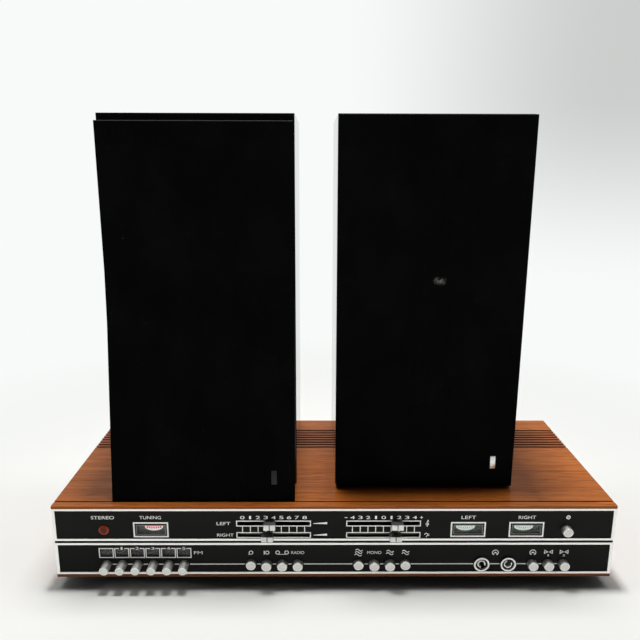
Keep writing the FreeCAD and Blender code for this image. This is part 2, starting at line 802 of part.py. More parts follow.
def panel_socket(x, face, z, radius):
    """A flanged round socket let into a panel from behind, with pin holes; face is the panel's outer face."""
    outer = radius + s.rear_socket_flange_rim
    flange, depth = s.rear_socket_flange, s.rear_socket_depth
    shell = turned("PanelSocket", [(0, flange), (outer, flange), (outer, 0), (radius, 0), (radius, -depth),
                                   (0, -depth)])
    place(shell, x, face, z)
    mouth = face + s.rear_socket_flange
    run = (mouth - s.rear_socket_pin_depth, mouth + s.overrun)
    return cut(shell, pin_drills(x, z, s.rear_socket_pin_circle, s.rear_socket_pin_radius, run))


# Rear panel with its sockets and the mains inlet
rear_axis = case_bottom + s.rear_socket_height
rear_places = row_of(across["rear_sockets"], s.rear_socket_pitch, REAR_SOCKET_COUNT)
through_rear = (rear_inside - s.overrun, rear_face + s.overrun)
inlet_x = span(across["mains_inlet"], s.inlet_width)
inlet_z = span(rear_axis, s.inlet_height)
loose = 2 * s.seat_clearance
rear_cuts = [rod(x, rear_axis, s.rear_socket_radius + s.seat_clearance, through_rear) for x in rear_places]
rear_cuts += [block(span(across["mains_inlet"], s.inlet_width + loose), through_rear,
                    span(rear_axis, s.inlet_height + loose))]
rear_cuts += [block(span(sink_middle, s.rear_slot_length), through_rear, span(z, s.rear_slot_width))
              for z in row_of(rear_axis, s.rear_slot_pitch, REAR_SLOT_COUNT)]
node("rear_panel", cut(block(inner_width, (rear_inside, rear_face), case_inside), rear_cuts))
inlet_run = (rear_face - s.inlet_depth, rear_face + s.rear_socket_flange)
inlet_pins = [block(span(x, s.inlet_pin_width), (rear_face - s.rear_socket_pin_depth, rear_face + s.overrun),
                    span(rear_axis, s.inlet_pin_width))
              for x in row_of(across["mains_inlet"], s.inlet_pin_gap, 2)]
inlet = cut(block(inlet_x, inlet_run, inlet_z), inlet_pins)
round_sockets = [panel_socket(x, rear_face, rear_axis, s.rear_socket_radius) for x in rear_places]
node("rear_sockets", group(round_sockets + [inlet]))


def foot(x, y):
    """A tapered rubber foot."""
    cone = doc.addObject("Part::Cone", "Foot")
    bind(cone, "Radius1", s.foot_radius - s.foot_taper)
    bind(cone, "Radius2", s.foot_radius)
    bind(cone, "Height", s.foot_height)
    return place(cone, x, y, 0)


foot_places = [(x, y) for x in (-half_width + s.foot_side_inset, half_width - s.foot_side_inset)
               for y in (front + s.foot_end_inset, back - s.foot_end_inset)]
node("feet", group([foot(x, y) for x, y in foot_places]))

# Case screws: from under the base board up through the chassis tray
screws = [fused([post(x, y, s.screw_head_radius, (case_bottom - s.screw_head_height, case_bottom)),
                 post(x, y, s.screw_radius, (case_bottom, tray_top + s.screw_end))]) for x, y in screw_places]
node("case_screws", group(screws))

# Shared places of the two loudspeakers
cabinet_front = front + s.cabinet_setback
cabinet_back = cabinet_front + s.cabinet_depth
cabinet_top = deck + s.cabinet_height
inner_half = s.cabinet_width / 2 - s.cabinet_wall
baffle_face = cabinet_front + s.woofer_flange + s.surround_crest + s.cone_travel + s.cone_front_gap
back_outside = cabinet_back - s.back_inset
back_inside = back_outside - s.back_thickness
woofer_frame_radius = inner_half - s.woofer_side_gap
throat = woofer_frame_radius - s.woofer_frame_rim
mouth = throat - s.woofer_wall
grille_half = s.cabinet_width / 2 - s.grille_side_margin
grille_height = s.cabinet_height - s.grille_top_drop - s.grille_foot_gap


def side_board(x, outer):
    """An upright board whose two outer edges are rounded."""
    body = new_body("SideBoard")
    section = outline(body, "XY_Plane", [rectangle(x, (cabinet_front, cabinet_back))])
    pad = padded(body, section, s.cabinet_height)
    place(body, 0, 0, deck)
    doc.recompute()
    upright = [f"Edge{number}" for number, edge in enumerate(pad.Shape.Edges, start=1)
               if edge.BoundBox.ZLength > edge.BoundBox.XLength + edge.BoundBox.YLength
               and abs(edge.CenterOfMass.x - outer.number) < s.cabinet_round.number]
    rounding = body.newObject("PartDesign::Fillet", "Rounding")
    rounding.Base = (pad, upright)
    bind(rounding, "Radius", s.cabinet_round)
    return body


def cabinet(middle):
    """Two sides, a top, a bottom and a back with its lead socket."""
    low, high = middle - s.cabinet_width / 2, middle + s.cabinet_width / 2
    inside = (low + s.cabinet_wall, high - s.cabinet_wall)
    deep = (cabinet_front, cabinet_back)
    rise = (deck + s.cabinet_wall, cabinet_top - s.cabinet_wall)
    socket_axis = deck + s.cabinet_height * LEAD_SOCKET_HEIGHT_SHARE
    through_back = (back_inside - s.overrun, back_outside + s.overrun)
    rear = cut(block(inside, (back_inside, back_outside), rise),
               [rod(middle, socket_axis, s.lead_socket_radius + s.seat_clearance, through_back)])
    return group([side_board((low, inside[0]), low), side_board((inside[1], high), high),
                  block(inside, deep, (deck, rise[0])), block(inside, deep, (rise[1], cabinet_top)), rear,
                  panel_socket(middle, back_outside, socket_axis, s.lead_socket_radius)])


def woofer():
    """A pressed basket with its flange, magnet and pole piece; depth counts from the baffle's face."""
    bowl, magnet_back = s.woofer_basket_depth, s.woofer_basket_depth + s.magnet_depth
    gap_floor, gap_wall = bowl + s.coil_gap_depth, s.pole_radius + s.coil_gap
    flange, rim = (woofer_frame_radius, -s.woofer_flange), s.woofer_rim_depth
    outside = [flange, (woofer_frame_radius, 0), (throat, 0), (throat, rim), (s.magnet_radius, bowl),
               (s.magnet_radius, magnet_back), (0, magnet_back)]
    inside = [(0, bowl), (s.pole_radius, bowl), (s.pole_radius, gap_floor), (gap_wall, gap_floor),
              (gap_wall, bowl), (s.magnet_radius - s.woofer_wall, bowl), (mouth, rim),
              (mouth, -s.woofer_flange)]
    return turned("Woofer", outside + inside)


def woofer_cone():
    """A rolled surround, paper cone, dust cap and voice coil in one moving piece."""
    rim = mouth - s.cone_clearance
    cone_edge = rim - s.surround_width
    roll = s.surround_width * ROLL_SHARE
    rest, crest, paper = -s.woofer_flange, -s.woofer_flange - s.surround_crest, s.cone_thickness
    neck = s.woofer_basket_depth - s.cone_neck_gap
    coil_inner = s.pole_radius + s.cone_clearance * 2
    coil_outer = s.pole_radius + s.coil_gap - s.cone_clearance * 2
    coil_end = s.woofer_basket_depth + s.voice_coil_length
    cap_edge = rest + (neck - rest) * (cone_edge - s.dust_cap_radius) / (cone_edge - coil_outer)
    cap_shoulder = cap_edge - s.dust_cap_crown * DOME_CROWN_SHARE
    cap_crown = cap_edge - s.dust_cap_crown
    face = [(rim, rest), (rim - roll, crest), (cone_edge + roll, crest), (cone_edge, rest),
            (s.dust_cap_radius, cap_edge), (coil_inner, cap_shoulder), (0, cap_crown)]
    cap_back = [(0, cap_crown + paper), (coil_inner, cap_shoulder + paper)]
    voice_coil = [(coil_inner, coil_end), (coil_outer, coil_end), (coil_outer, neck + paper)]
    cone_back = [(cone_edge, rest + paper), (cone_edge + roll, crest + paper), (rim - roll, crest + paper),
                 (rim, rest + paper)]
    return turned("WooferCone", face + cap_back + voice_coil + cone_back)


def tweeter():
    """A flanged tweeter with a shallow horn round its dome."""
    horn = s.tweeter_mouth_depth - s.tweeter_flange
    dome_shoulder = (s.tweeter_dome_radius * DOME_RADIUS_SHARE,
                     horn - s.tweeter_dome_crown * DOME_CROWN_SHARE)
    return turned("Tweeter", [(s.tweeter_frame_radius, -s.tweeter_flange), (s.tweeter_frame_radius, 0),
                              (s.tweeter_body_radius, 0), (s.tweeter_body_radius, s.tweeter_body_depth),
                              (0, s.tweeter_body_depth), (0, horn - s.tweeter_dome_crown), dome_shoulder,
                              (s.tweeter_dome_radius, horn), (s.tweeter_mouth_radius, -s.tweeter_flange)])


def grille(name, middle, top, path):
    """A frame with a cross bar and the cloth over its face; the path gives how far the back of the frame
    stands out at each drop below its top."""
    hanging, foot = cabinet_front - s.grille_gap, top - path[-1][1]
    half_inside, cross = grille_half - s.grille_frame_rim, s.grille_frame_rim / 2
    bar = (top + foot) / 2
    through = (hanging - path[-1][0] - s.grille_frame_depth - s.overrun, hanging + s.overrun)
    rises = [(foot + s.grille_frame_rim, bar - cross), (bar + cross, top - s.grille_frame_rim)]
    openings = [block((middle - half_inside, middle + half_inside), through, rise) for rise in rises]

    def layer(part_name, lift, thickness):
        rear = [(hanging - out - lift, top - drop) for out, drop in path]
        face = [(y - thickness, z) for y, z in reversed(rear)]
        return place(board(name + part_name, rear + face, grille_half * 2), middle, 0, 0)

    node(f"{name}_grille_frame", cut(layer("Frame", 0, s.grille_frame_depth), openings))
    node(f"{name}_grille_cloth", layer("Cloth", s.grille_frame_depth, s.cloth_thickness))


def loudspeaker(name, middle):
    """Everything of one loudspeaker but its grille."""
    woofer_axis = deck + s.cabinet_height * WOOFER_HEIGHT_SHARE
    tweeter_axis = deck + s.cabinet_height * TWEETER_HEIGHT_SHARE
    baffle_run = (baffle_face, baffle_face + s.baffle_thickness)
    through_baffle = (baffle_run[0] - s.overrun, baffle_run[1] + s.overrun)
    node(f"{name}_cabinet", cabinet(middle))
    baffle = block((middle - inner_half, middle + inner_half), baffle_run,
                   (deck + s.cabinet_wall, cabinet_top - s.cabinet_wall))
    tweeter_hole = s.tweeter_body_radius + s.seat_clearance
    node(f"{name}_baffle", cut(baffle, [rod(middle, woofer_axis, throat + s.seat_clearance, through_baffle),
                                        rod(middle, tweeter_axis, tweeter_hole, through_baffle)]))
    node(f"{name}_woofer", place(woofer(), middle, baffle_face, woofer_axis))
    node(f"{name}_woofer_cone", place(woofer_cone(), middle, baffle_face, woofer_axis))
    node(f"{name}_tweeter", place(tweeter(), middle, baffle_face, tweeter_axis))


# Loudspeakers: the left grille has slipped and is warped, so that its foot stands out on the deck; the right
# one is flat and closed
half_step = (s.cabinet_width + s.cabinet_gap) / 2
left_middle = across["loudspeakers"] - half_step
right_middle = across["loudspeakers"] + half_step
loudspeaker("left", left_middle)
loudspeaker("right", right_middle)
flat_part, leaning_part = grille_height * FLAT_PART_SHARE, grille_height * LEANING_PART_SHARE
bend_out = s.left_grille_foot_out * s.left_grille_bend / leaning_part
warped = [(0, 0), (0, flat_part - s.left_grille_bend), (bend_out, flat_part + s.left_grille_bend),
          (s.left_grille_foot_out, flat_part + leaning_part)]
grille("left", left_middle, deck + s.grille_gap + flat_part + leaning_part, warped)
grille("right", right_middle, cabinet_top - s.grille_top_drop, [(0, 0), (0, grille_height)])

doc.recompute()
for item in doc.Objects:
    if {"Invalid", "Error"} & set(item.State):
        raise RuntimeError(f"{item.Label} failed: {item.State}")
for name, item in NODES.items():
    if item.Shape.isNull() or not item.Shape.isValid() or not item.Shape.Solids:
        raise RuntimeError(f"{name} has no valid solid")

os.makedirs("parts", exist_ok=True)
for name, item in NODES.items():
    item.Shape.exportStep(f"parts/{name}.step")
print(len(NODES), "nodes,", sum(len(item.Shape.Solids) for item in NODES.values()), "solids")
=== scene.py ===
import math

import bmesh
import bpy
from mathutils import Matrix, Vector


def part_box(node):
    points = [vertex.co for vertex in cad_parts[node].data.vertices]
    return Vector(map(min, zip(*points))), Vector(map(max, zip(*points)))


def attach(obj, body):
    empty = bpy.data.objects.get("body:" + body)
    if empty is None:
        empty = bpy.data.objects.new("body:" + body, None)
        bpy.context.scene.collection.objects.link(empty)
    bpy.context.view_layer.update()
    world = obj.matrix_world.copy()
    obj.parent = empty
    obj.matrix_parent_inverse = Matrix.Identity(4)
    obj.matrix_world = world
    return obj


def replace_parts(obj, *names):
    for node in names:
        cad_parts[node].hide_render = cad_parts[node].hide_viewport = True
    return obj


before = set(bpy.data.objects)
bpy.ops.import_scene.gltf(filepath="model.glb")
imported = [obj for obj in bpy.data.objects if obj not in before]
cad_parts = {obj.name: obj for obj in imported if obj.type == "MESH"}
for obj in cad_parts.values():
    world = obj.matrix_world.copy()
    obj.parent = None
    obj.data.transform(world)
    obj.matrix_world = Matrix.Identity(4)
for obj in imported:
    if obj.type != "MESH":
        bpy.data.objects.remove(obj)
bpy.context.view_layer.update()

# Teak case: top board, base board and two side panels of chipboard under teak veneer, glued at
# their corners. A lip covers the fascia, a groove is milled behind it, and the saw has cut eight
# ventilation slots right across the top.
MM = 0.001


def linear(hex_colour):
    """Turns an sRGB hex colour to linear red, green and blue with full alpha."""
    parts = [int(hex_colour[place:place + 2], 16) / 255 for place in (1, 3, 5)]
    return [part / 12.92 if part <= 0.04045 else ((part + 0.055) / 1.055) ** 2.4 for part in parts] + [1.0]


def add(tree, kind, inputs, out=0, **settings):
    """Adds a node with its settings, sets or links its inputs, and gives one of its outputs."""
    made = tree.nodes.new("ShaderNode" + kind)
    for name, setting in settings.items():
        setattr(made, name, setting)
    for key, value in inputs.items():
        if isinstance(value, bpy.types.NodeSocket):
            tree.links.new(value, made.inputs[key])
        else:
            made.inputs[key].default_value = value
    return made.outputs[out] if made.outputs else None


def new_material(name):
    """A material with an empty tree, and the place of each surface point in the row frame."""
    made = bpy.data.materials.new(name)
    made.use_nodes = True
    made.node_tree.nodes.clear()
    return made, made.node_tree, add(made.node_tree, "TexCoord", {}, "Object")


def marked(tree, place, ground, marks):
    """Lays marks over a ground colour. A mark has the size of its blots in millimetres along X, Y and Z,
    its detail, the noise values from which it begins and is full, its colour and its strength.
    Gives the colour, and how strongly each mark lies at a point."""
    colour, shares = linear(ground), []
    for size, detail, begin, full, tint, strength in marks:
        spread = add(tree, "Mapping", {"Vector": place, "Scale": [1 / (length * MM) for length in size]})
        noise = add(tree, "TexNoise", {"Vector": spread, "Scale": 1.0, "Detail": detail, "Roughness": 0.6})
        reach = {"Value": noise, "From Min": begin, "From Max": full, "To Max": strength}
        share = add(tree, "MapRange", reach)
        colour = add(tree, "Mix", {0: share, 6: colour, 7: linear(tint)}, 2, data_type="RGBA")
        shares.append(share)
    return colour, shares


def dress(material, *nodes):
    """Gives CAD nodes a finish."""
    for name in nodes:
        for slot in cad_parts[name].material_slots:
            slot.material = material


GROOVE_Y, GROOVE_HALF = -95.2, 1.3
SLATS_FROM_BACK, SLATS_HALF = 58.1, 27.0
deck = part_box("top_board")[1].z / MM
front_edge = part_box("top_board")[0].y / MM
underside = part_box("base_board")[0].z / MM
slats_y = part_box("top_board")[1].y / MM - SLATS_FROM_BACK


def teak_veneer(name, grain):
    """Sliced teak veneer under clear lacquer: orange brown with darker figure along the grain, short open
    pores, and a thin sharp reflection. The milled groove and the underside are painted near black as painted
    shade, and the front faces are painted darker than the veneer as painted shade. grain is the axis, 0 for X
    and 1 for Y, that the fibres follow."""
    made, tree, place = new_material(name)
    along = {"figure": 260.0, "fibre": 46.0, "drift": 420.0, "pores": 24.0}
    across = {"figure": 9.0, "fibre": 2.2, "drift": 70.0, "pores": 1.4}
    size = {mark: [along[mark] if axis == grain else across[mark] for axis in range(3)] for mark in along}
    colour, (_, fibre, _, pores) = marked(tree, place, "#CA722C", [
        (size["figure"], 3.0, 0.38, 0.68, "#9C4E1C", 0.9),
        (size["fibre"], 2.0, 0.35, 0.75, "#7C3A14", 0.6),
        (size["drift"], 2.0, 0.30, 0.70, "#CC7834", 0.4),
        (size["pores"], 1.0, 0.58, 0.72, "#5A2810", 0.7),
    ])
    back, height = (add(tree, "SeparateXYZ", {"Vector": place}, axis) for axis in ("Y", "Z"))
    # painted shade: the milled groove is painted near black, standing for the shade inside it
    in_groove = add(tree, "Math", {0: back, 1: GROOVE_Y * MM, 2: GROOVE_HALF * MM}, operation="COMPARE")
    below_deck = add(tree, "Math", {0: height, 1: (deck - 2.0) * MM, 2: 1.7 * MM}, operation="COMPARE")
    groove_shade = add(tree, "Math", {0: in_groove, 1: below_deck}, operation="MULTIPLY")
    colour = add(tree, "Mix", {0: groove_shade, 6: colour, 7: linear("#1C0B04")}, 2, data_type="RGBA")
    # the slats between the ventilation slots look duller in the photo than the rest of the deck
    on_slats = add(tree, "Math", {0: back, 1: slats_y * MM, 2: SLATS_HALF * MM}, operation="COMPARE")
    on_deck = add(tree, "Math", {0: height, 1: (deck - 0.5) * MM}, operation="GREATER_THAN")
    slats = add(tree, "Math", {0: on_slats, 1: on_deck}, operation="MULTIPLY")
    dulled = add(tree, "MapRange", {"Value": slats, "To Max": 0.4})
    colour = add(tree, "Mix", {0: dulled, 6: colour, 7: linear("#5A3A30")}, 2, data_type="RGBA")
    # painted shade: the front faces of the top and base boards are painted darker, for the light they miss
    front_face_shade = add(tree, "Math", {0: back, 1: (front_edge + 0.2) * MM}, operation="LESS_THAN")
    colour = add(tree, "Mix", {0: front_face_shade, 6: colour, 7: linear("#77421A")}, 2, data_type="RGBA")
    # painted shade: the underside is painted near black so that the floor under the case stays in deep shadow
    under = add(tree, "Math", {0: height, 1: (underside + 0.2) * MM}, operation="LESS_THAN")
    colour = add(tree, "Mix", {0: under, 6: colour, 7: linear("#0D0907")}, 2, data_type="RGBA")
    dull = add(tree, "MapRange", {"Value": fibre, "From Max": 0.55, "To Min": 0.40, "To Max": 0.55})
    shader = add(tree, "BsdfPrincipled", {
        "Base Color": colour,
        "Roughness": dull,
        "Normal": add(tree, "Bump", {"Height": pores, "Strength": 1.0, "Distance": -0.04 * MM}),
        "Specular IOR Level": 0.08,
        "Coat Weight": 0.15,
        "Coat Roughness": 0.09,
    })
    add(tree, "OutputMaterial", {"Surface": shader})
    return made


dress(teak_veneer("teak_veneer_satin_lacquer", 0), "top_board", "base_board")
dress(teak_veneer("teak_veneer_satin_lacquer_sides", 1), "side_panels")

# Chassis inside the case: a folded tray of zinc-plated sheet steel, screwed to the base board from
# below, that carries the circuit board, transformer, heat sink, tuner and all the switches.


def surfaced(name, ground, marks, rough, relief=None, also=None):
    """A finish from its marks. The first mark leads the roughness from one value to the other. relief is the
    number of the mark that stands out and its height in millimetres. also holds the shader's other values."""
    made, tree, place = new_material(name)
    colour, shares = marked(tree, place, ground, marks)
    smooth, coarse = rough
    spread = {"Value": shares[0], "From Max": marks[0][-1], "To Min": smooth, "To Max": coarse}
    dull = add(tree, "MapRange", spread)
    inputs = {"Base Color": colour, "Roughness": dull, **(also or {})}
    if relief:
        mark, height = relief
        rise = {"Height": shares[mark], "Strength": 1.0, "Distance": height * MM}
        inputs["Normal"] = add(tree, "Bump", rise)
    add(tree, "OutputMaterial", {"Surface": add(tree, "BsdfPrincipled", inputs)})
    return made


def moulded_abs(name, ground, cloud_tint, shine):
    """Injection-moulded ABS: one even colour with the fine matt grain of the mould and faint flow clouds."""
    return surfaced(name, ground, [
        ((18.0, 18.0, 18.0), 2.0, 0.30, 0.70, cloud_tint, 1.0),
        ((0.6, 0.6, 0.6), 1.0, 0.45, 0.75, cloud_tint, 0.4),
    ], (0.36, 0.50), relief=(1, 0.02), also={"Specular IOR Level": shine})


# cold-rolled steel with a zinc coat: a cool grey metal with faint cloudy spangle
zinc = surfaced("sheet_steel_zinc_plated", "#A9ABAB", [
    ((6.0, 6.0, 6.0), 4.0, 0.35, 0.65, "#C6C8C5", 1.0),
    ((0.6, 14.0, 14.0), 2.0, 0.55, 0.75, "#8B8D8E", 0.5),
], (0.34, 0.50), also={"Metallic": 1.0})
dress(zinc, "chassis_tray", "tuner_module", "case_screws")
# phenolic paper board, pressed: amber brown with a faint paper mottle and a waxy shine
laminate = surfaced("phenolic_paper_laminate_pressed", "#7A4A1E", [
    ((3.0, 3.0, 3.0), 3.0, 0.30, 0.70, "#9A662C", 1.0),
    ((30.0, 2.0, 30.0), 2.0, 0.50, 0.75, "#5E3613", 0.5),
], (0.34, 0.48))
dress(laminate, "circuit_board")
# stacked transformer laminations, varnished: dark brown-grey edges in 0.5 mm layers, drawn 1.5 mm thick
# so that they show
laminations = surfaced("silicon_steel_laminations_varnished", "#3A3430", [
    ((80.0, 1.5, 80.0), 1.0, 0.40, 0.60, "#6A625A", 1.0),
    ((9.0, 9.0, 9.0), 3.0, 0.50, 0.70, "#4A3320", 0.6),
], (0.42, 0.60), relief=(0, 0.1), also={"Metallic": 0.7})
dress(laminations, "power_transformer")
# extruded aluminium, black anodised: soft black with draw lines along the fins
extrusion = surfaced("aluminium_extrusion_black_anodised", "#151515", [
    ((0.8, 0.8, 60.0), 2.0, 0.35, 0.65, "#262626", 1.0),
    ((25.0, 25.0, 25.0), 2.0, 0.40, 0.70, "#1D1B22", 0.6),
], (0.38, 0.54), also={"Metallic": 0.5})
dress(extrusion, "heat_sink")
black_abs = moulded_abs("abs_black_moulded", "#0E0E0E", "#1A1A1A", 0.35)
dress(black_abs, "switch_banks", "slide_potentiometers", "rear_sockets")

# Feet and rear panel: four tapered rubber feet under the base board, and a black enamelled steel panel
# that closes the back, held by slotted screws, with six round sockets and the mains inlet let into it.


def new_piece(name, shape, material, body):
    """Turns a finished mesh into a piece that rides on a body, smooth but for its sharp edges."""
    bmesh.ops.recalc_face_normals(shape, faces=shape.faces)
    sharp = math.radians(40)
    for face in shape.faces:
        face.smooth = True
    for edge in shape.edges:
        edge.smooth = edge.calc_face_angle(math.pi) < sharp
    mesh = bpy.data.meshes.new(name)
    shape.to_mesh(mesh)
    shape.free()
    mesh.materials.append(material)
    piece = bpy.data.objects.new(name, mesh)
    bpy.context.scene.collection.objects.link(piece)
    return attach(piece, body)


def lathe(shape, outline, middle, turns=48):
    """Turns an outline of radius and depth, in millimetres, about the Y axis through a point."""
    rings = []
    for radius, depth in outline:
        ring = []
        for step in range(turns):
            turn = 2 * math.pi * step / turns
            offset = Vector((radius * math.cos(turn), depth, radius * math.sin(turn)))
            ring.append(shape.verts.new(MM * (Vector(middle) + offset)))
        rings.append(ring)
    for first, last in zip(rings, rings[1:]):
        for step in range(turns):
            shape.faces.new((first[step - 1], first[step], last[step], last[step - 1]))
    return rings


def slotted_screw(shape, middle, radius, out):
    """A pan-head screw with a milled slot; out is 1 where the head faces +Y and -1 where it faces -Y."""
    rise, half = 0.5 * radius * out, 0.15 * radius
    dome = [(1.0, 0.0), (0.97, 0.5), (0.78, 0.85), (0.45, 1.0)]
    outline = [(out_share * radius, up_share * rise) for out_share, up_share in dome]
    head = bmesh.new()
    head.faces.new(lathe(head, outline, middle, 32)[-1])
    for side in (-half, half):
        bmesh.ops.bisect_plane(head, geom=head.verts[:] + head.edges[:] + head.faces[:], plane_no=(0, 0, 1),
                               plane_co=MM * (Vector(middle) + Vector((0, 0, side))))
    strip = [face for face in head.faces if abs(face.calc_center_median().z / MM - middle[2]) < half
             and abs(face.calc_center_median().y / MM - middle[1]) > 0.6 * abs(rise)]
    sunk = bmesh.ops.extrude_face_region(head, geom=strip)["geom"]
    bmesh.ops.translate(head, verts=[item for item in sunk if isinstance(item, bmesh.types.BMVert)],
                        vec=(0, -0.5 * rise * MM, 0))
    bmesh.ops.delete(head, geom=[face for face in strip if face.is_valid], context="FACES_ONLY")
    turned = bpy.data.meshes.new("screw")
    head.to_mesh(turned)
    head.free()
    shape.from_mesh(turned)
    bpy.data.meshes.remove(turned)


# compression-moulded rubber: dull charcoal with a bloom of paler dust
rubber = surfaced("rubber_moulded", "#121212", [
    ((2.5, 2.5, 2.5), 4.0, 0.40, 0.75, "#2C2B29", 1.0),
], (0.72, 0.92), also={"Specular IOR Level": 0.25})
dress(rubber, "feet")
# sheet steel, stove enamelled: satin black with a light orange-peel skin
enamel = surfaced("sheet_steel_black_stove_enamel", "#141414", [
    ((30.0, 30.0, 30.0), 3.0, 0.35, 0.70, "#202020", 1.0),
    ((1.6, 1.6, 1.6), 2.0, 0.30, 0.70, "#191919", 0.5),
], (0.40, 0.55), relief=(1, 0.04), also={"Specular IOR Level": 0.30})
dress(enamel, "rear_panel")
rear_low, rear_high = (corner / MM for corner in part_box("rear_panel"))
screws = bmesh.new()
end_inset, next_inset, edge_inset = 12, 140, 6
for x in (rear_low.x + end_inset, rear_low.x + next_inset, 0.0,
          rear_high.x - next_inset, rear_high.x - end_inset):
    for z in (rear_low.z + edge_inset, rear_high.z - edge_inset):
        slotted_screw(screws, (x, rear_high.y, z), 3.2, 1)
rear_screws = new_piece("rear_panel_screws", screws, zinc, "receiver")

# Fascia: two panels of aluminium sheet in matt black enamel, each inside a frame of bright anodised
# aluminium bars that are screwed to the chassis from behind.

# aluminium sheet, sprayed matt black and baked: a deep grey-black with a dry shine and faint dust
fascia_enamel = surfaced("aluminium_sheet_matt_black_enamel", "#131312", [
    ((60.0, 60.0, 25.0), 3.0, 0.35, 0.70, "#181817", 1.0),
    ((0.7, 0.7, 0.7), 2.0, 0.62, 0.80, "#2C2B2A", 0.5),
], (0.46, 0.58), relief=(1, 0.02), also={"Specular IOR Level": 0.08})
dress(fascia_enamel, "upper_fascia", "lower_fascia")
# aluminium bar, brushed along its length and clear anodised: near white, with hair lines and a soft streak
# of light; the 0.1 mm brush lines are drawn 0.4 mm apart so that they show
bright_bar = surfaced("aluminium_bar_brushed_clear_anodised", "#FCFCFA", [
    ((40.0, 0.4, 0.4), 2.0, 0.30, 0.70, "#F2F2EF", 1.0),
    ((22.0, 3.0, 3.0), 3.0, 0.62, 0.82, "#DAD8D1", 0.4),
], (0.26, 0.38), relief=(0, 0.01), also={"Metallic": 1.0})
dress(bright_bar, "fascia_trims")


def bevelled_block(shape, low, high, bevel):
    """A block between two corners in millimetres, with rounded edges."""
    made = bmesh.ops.create_cube(shape, size=1.0)["verts"]
    size = [top - bottom for bottom, top in zip(low, high)]
    middle = [(top + bottom) / 2 for bottom, top in zip(low, high)]
    for corner in made:
        place = [centre + part * length for centre, part, length in zip(middle, corner.co, size)]
        corner.co = MM * Vector(place)
    edges = list({edge for corner in made for edge in corner.link_edges})
    bmesh.ops.bevel(shape, geom=edges, offset=bevel * MM, segments=2, affect="EDGES", profile=0.5)


# a soft black strip, in the rubber of the feet, fills the gap between the two frames, creased along its middle
# painted shade: the strip covers the lit top of the lower frame so that the gap between the frames shows dark
trim_low, trim_high = (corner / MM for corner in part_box("fascia_trims"))
gap_foot, gap_top = 50.2, 52.8
play, strip = 0.05, 1.25
gap_shade_strip = bmesh.new()
for foot, top in ((gap_foot + play, gap_foot + strip), (gap_top - strip, gap_top - play)):
    low, high = (trim_low.x + 0.3, trim_low.y + 0.9, foot), (trim_high.x - 0.3, trim_high.y, top)
    bevelled_block(gap_shade_strip, low, high, 0.3)
new_piece("frame_gap_shade_strip", gap_shade_strip, rubber, "receiver")

# Printing on the fascia: white ink pressed through a screen, a twentieth of a millimetre thick. It frames
# the windows and slots, rules the scales and names the controls with figures, plain words and signs.
INK_DEPTH = 0.05
PRINT_LINE, SIGN_LINE, FRAME_LINE = 1.0, 0.8, 1.5
UPPER_HEIGHT, LOWER_HEIGHT = 3.5, 3.3
METER_X = {"tuning": -183.1, "left": 133.3, "right": 191.6}
panel_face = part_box("upper_fascia")[0].y / MM
meter_z, button_z = 64.45, 25.85
slot_z = {"upper": 71.25, "lower": 58.45}
legend_z, lower_legend_z = 77.85, 38.75


def ruled(ink, points, width=PRINT_LINE, closed=False):
    """Prints a line of one width along points, each across and up the panel in millimetres."""
    count, rims = len(points), []
    for number, point in enumerate(points):
        here = Vector(point)
        before = Vector(points[number - 1]) if closed or number else here
        after = Vector(points[(number + 1) % count]) if closed or number < count - 1 else here
        runs = [run for run in (here - before, after - here) if run.length > 0]
        sides = [Vector((-run.y, run.x)).normalized() for run in runs]
        mitre = sum(sides, Vector((0, 0))).normalized()
        reach = mitre * (width / 2 / max(0.35, mitre.dot(sides[0])))
        rims.append([ink.verts.new((across * MM, 0, up * MM)) for across, up in (here + reach, here - reach)])
    for first, last in zip(rims, rims[1:] + rims[:1] if closed else rims[1:]):
        ink.faces.new((first[0], first[1], last[1], last[0]))


def filled(ink, points):
    """Prints a solid patch inside points."""
    ink.faces.new([ink.verts.new((across * MM, 0, up * MM)) for across, up in points])


def corners(x, z, half_width, half_height):
    """The corners of a rectangle about a middle."""
    ways = ((-1, -1), (1, -1), (1, 1), (-1, 1))
    return [(x + across * half_width, z + up * half_height) for across, up in ways]


def boxed(ink, x, z, width, height, line=PRINT_LINE):
    """Prints a rectangle whose outer size is given."""
    ruled(ink, corners(x, z, (width - line) / 2, (height - line) / 2), line, closed=True)


def arc(x, z, radius, start, end, steps=20):
    """Points along an arc from one angle to another, in degrees."""
    turns = [math.radians(start + (end - start) * step / steps) for step in range(steps + 1)]
    return [(x + radius * math.cos(turn), z + radius * math.sin(turn)) for turn in turns]


def ringed(ink, x, z, radius):
    """Prints a circle."""
    ruled(ink, arc(x, z, radius, 0, 351, 39), SIGN_LINE, closed=True)


def lettered(ink, words, x, z, height, width):
    """Prints wide capitals or figures that fill a height and width about a middle."""
    text = bpy.data.curves.new("legend", "FONT")
    text.body = words
    holder = bpy.data.objects.new("legend", text)
    bpy.context.scene.collection.objects.link(holder)
    bpy.context.view_layer.update()
    mesh = bpy.data.meshes.new_from_object(holder.evaluated_get(bpy.context.evaluated_depsgraph_get()))
    low = [min(vertex.co[axis] for vertex in mesh.vertices) for axis in (0, 1)]
    high = [max(vertex.co[axis] for vertex in mesh.vertices) for axis in (0, 1)]
    grow = [size * MM / (top - bottom) for size, top, bottom in zip((width, height), high, low)]
    for vertex in mesh.vertices:
        across, up = ((vertex.co[axis] - (low[axis] + high[axis]) / 2) * grow[axis] for axis in (0, 1))
        vertex.co = (x * MM + across, 0, z * MM + up)
    ink.from_mesh(mesh)
    bpy.data.objects.remove(holder)
    bpy.data.curves.remove(text)
    bpy.data.meshes.remove(mesh)


def thickened(shape, depth):
    """Raises a flat shape towards -Y by a depth in millimetres."""
    raised = bmesh.ops.extrude_face_region(shape, geom=shape.faces[:])["geom"]
    moved = [item for item in raised if isinstance(item, bmesh.types.BMVert)]
    bmesh.ops.translate(shape, verts=moved, vec=(0, -depth * MM, 0))


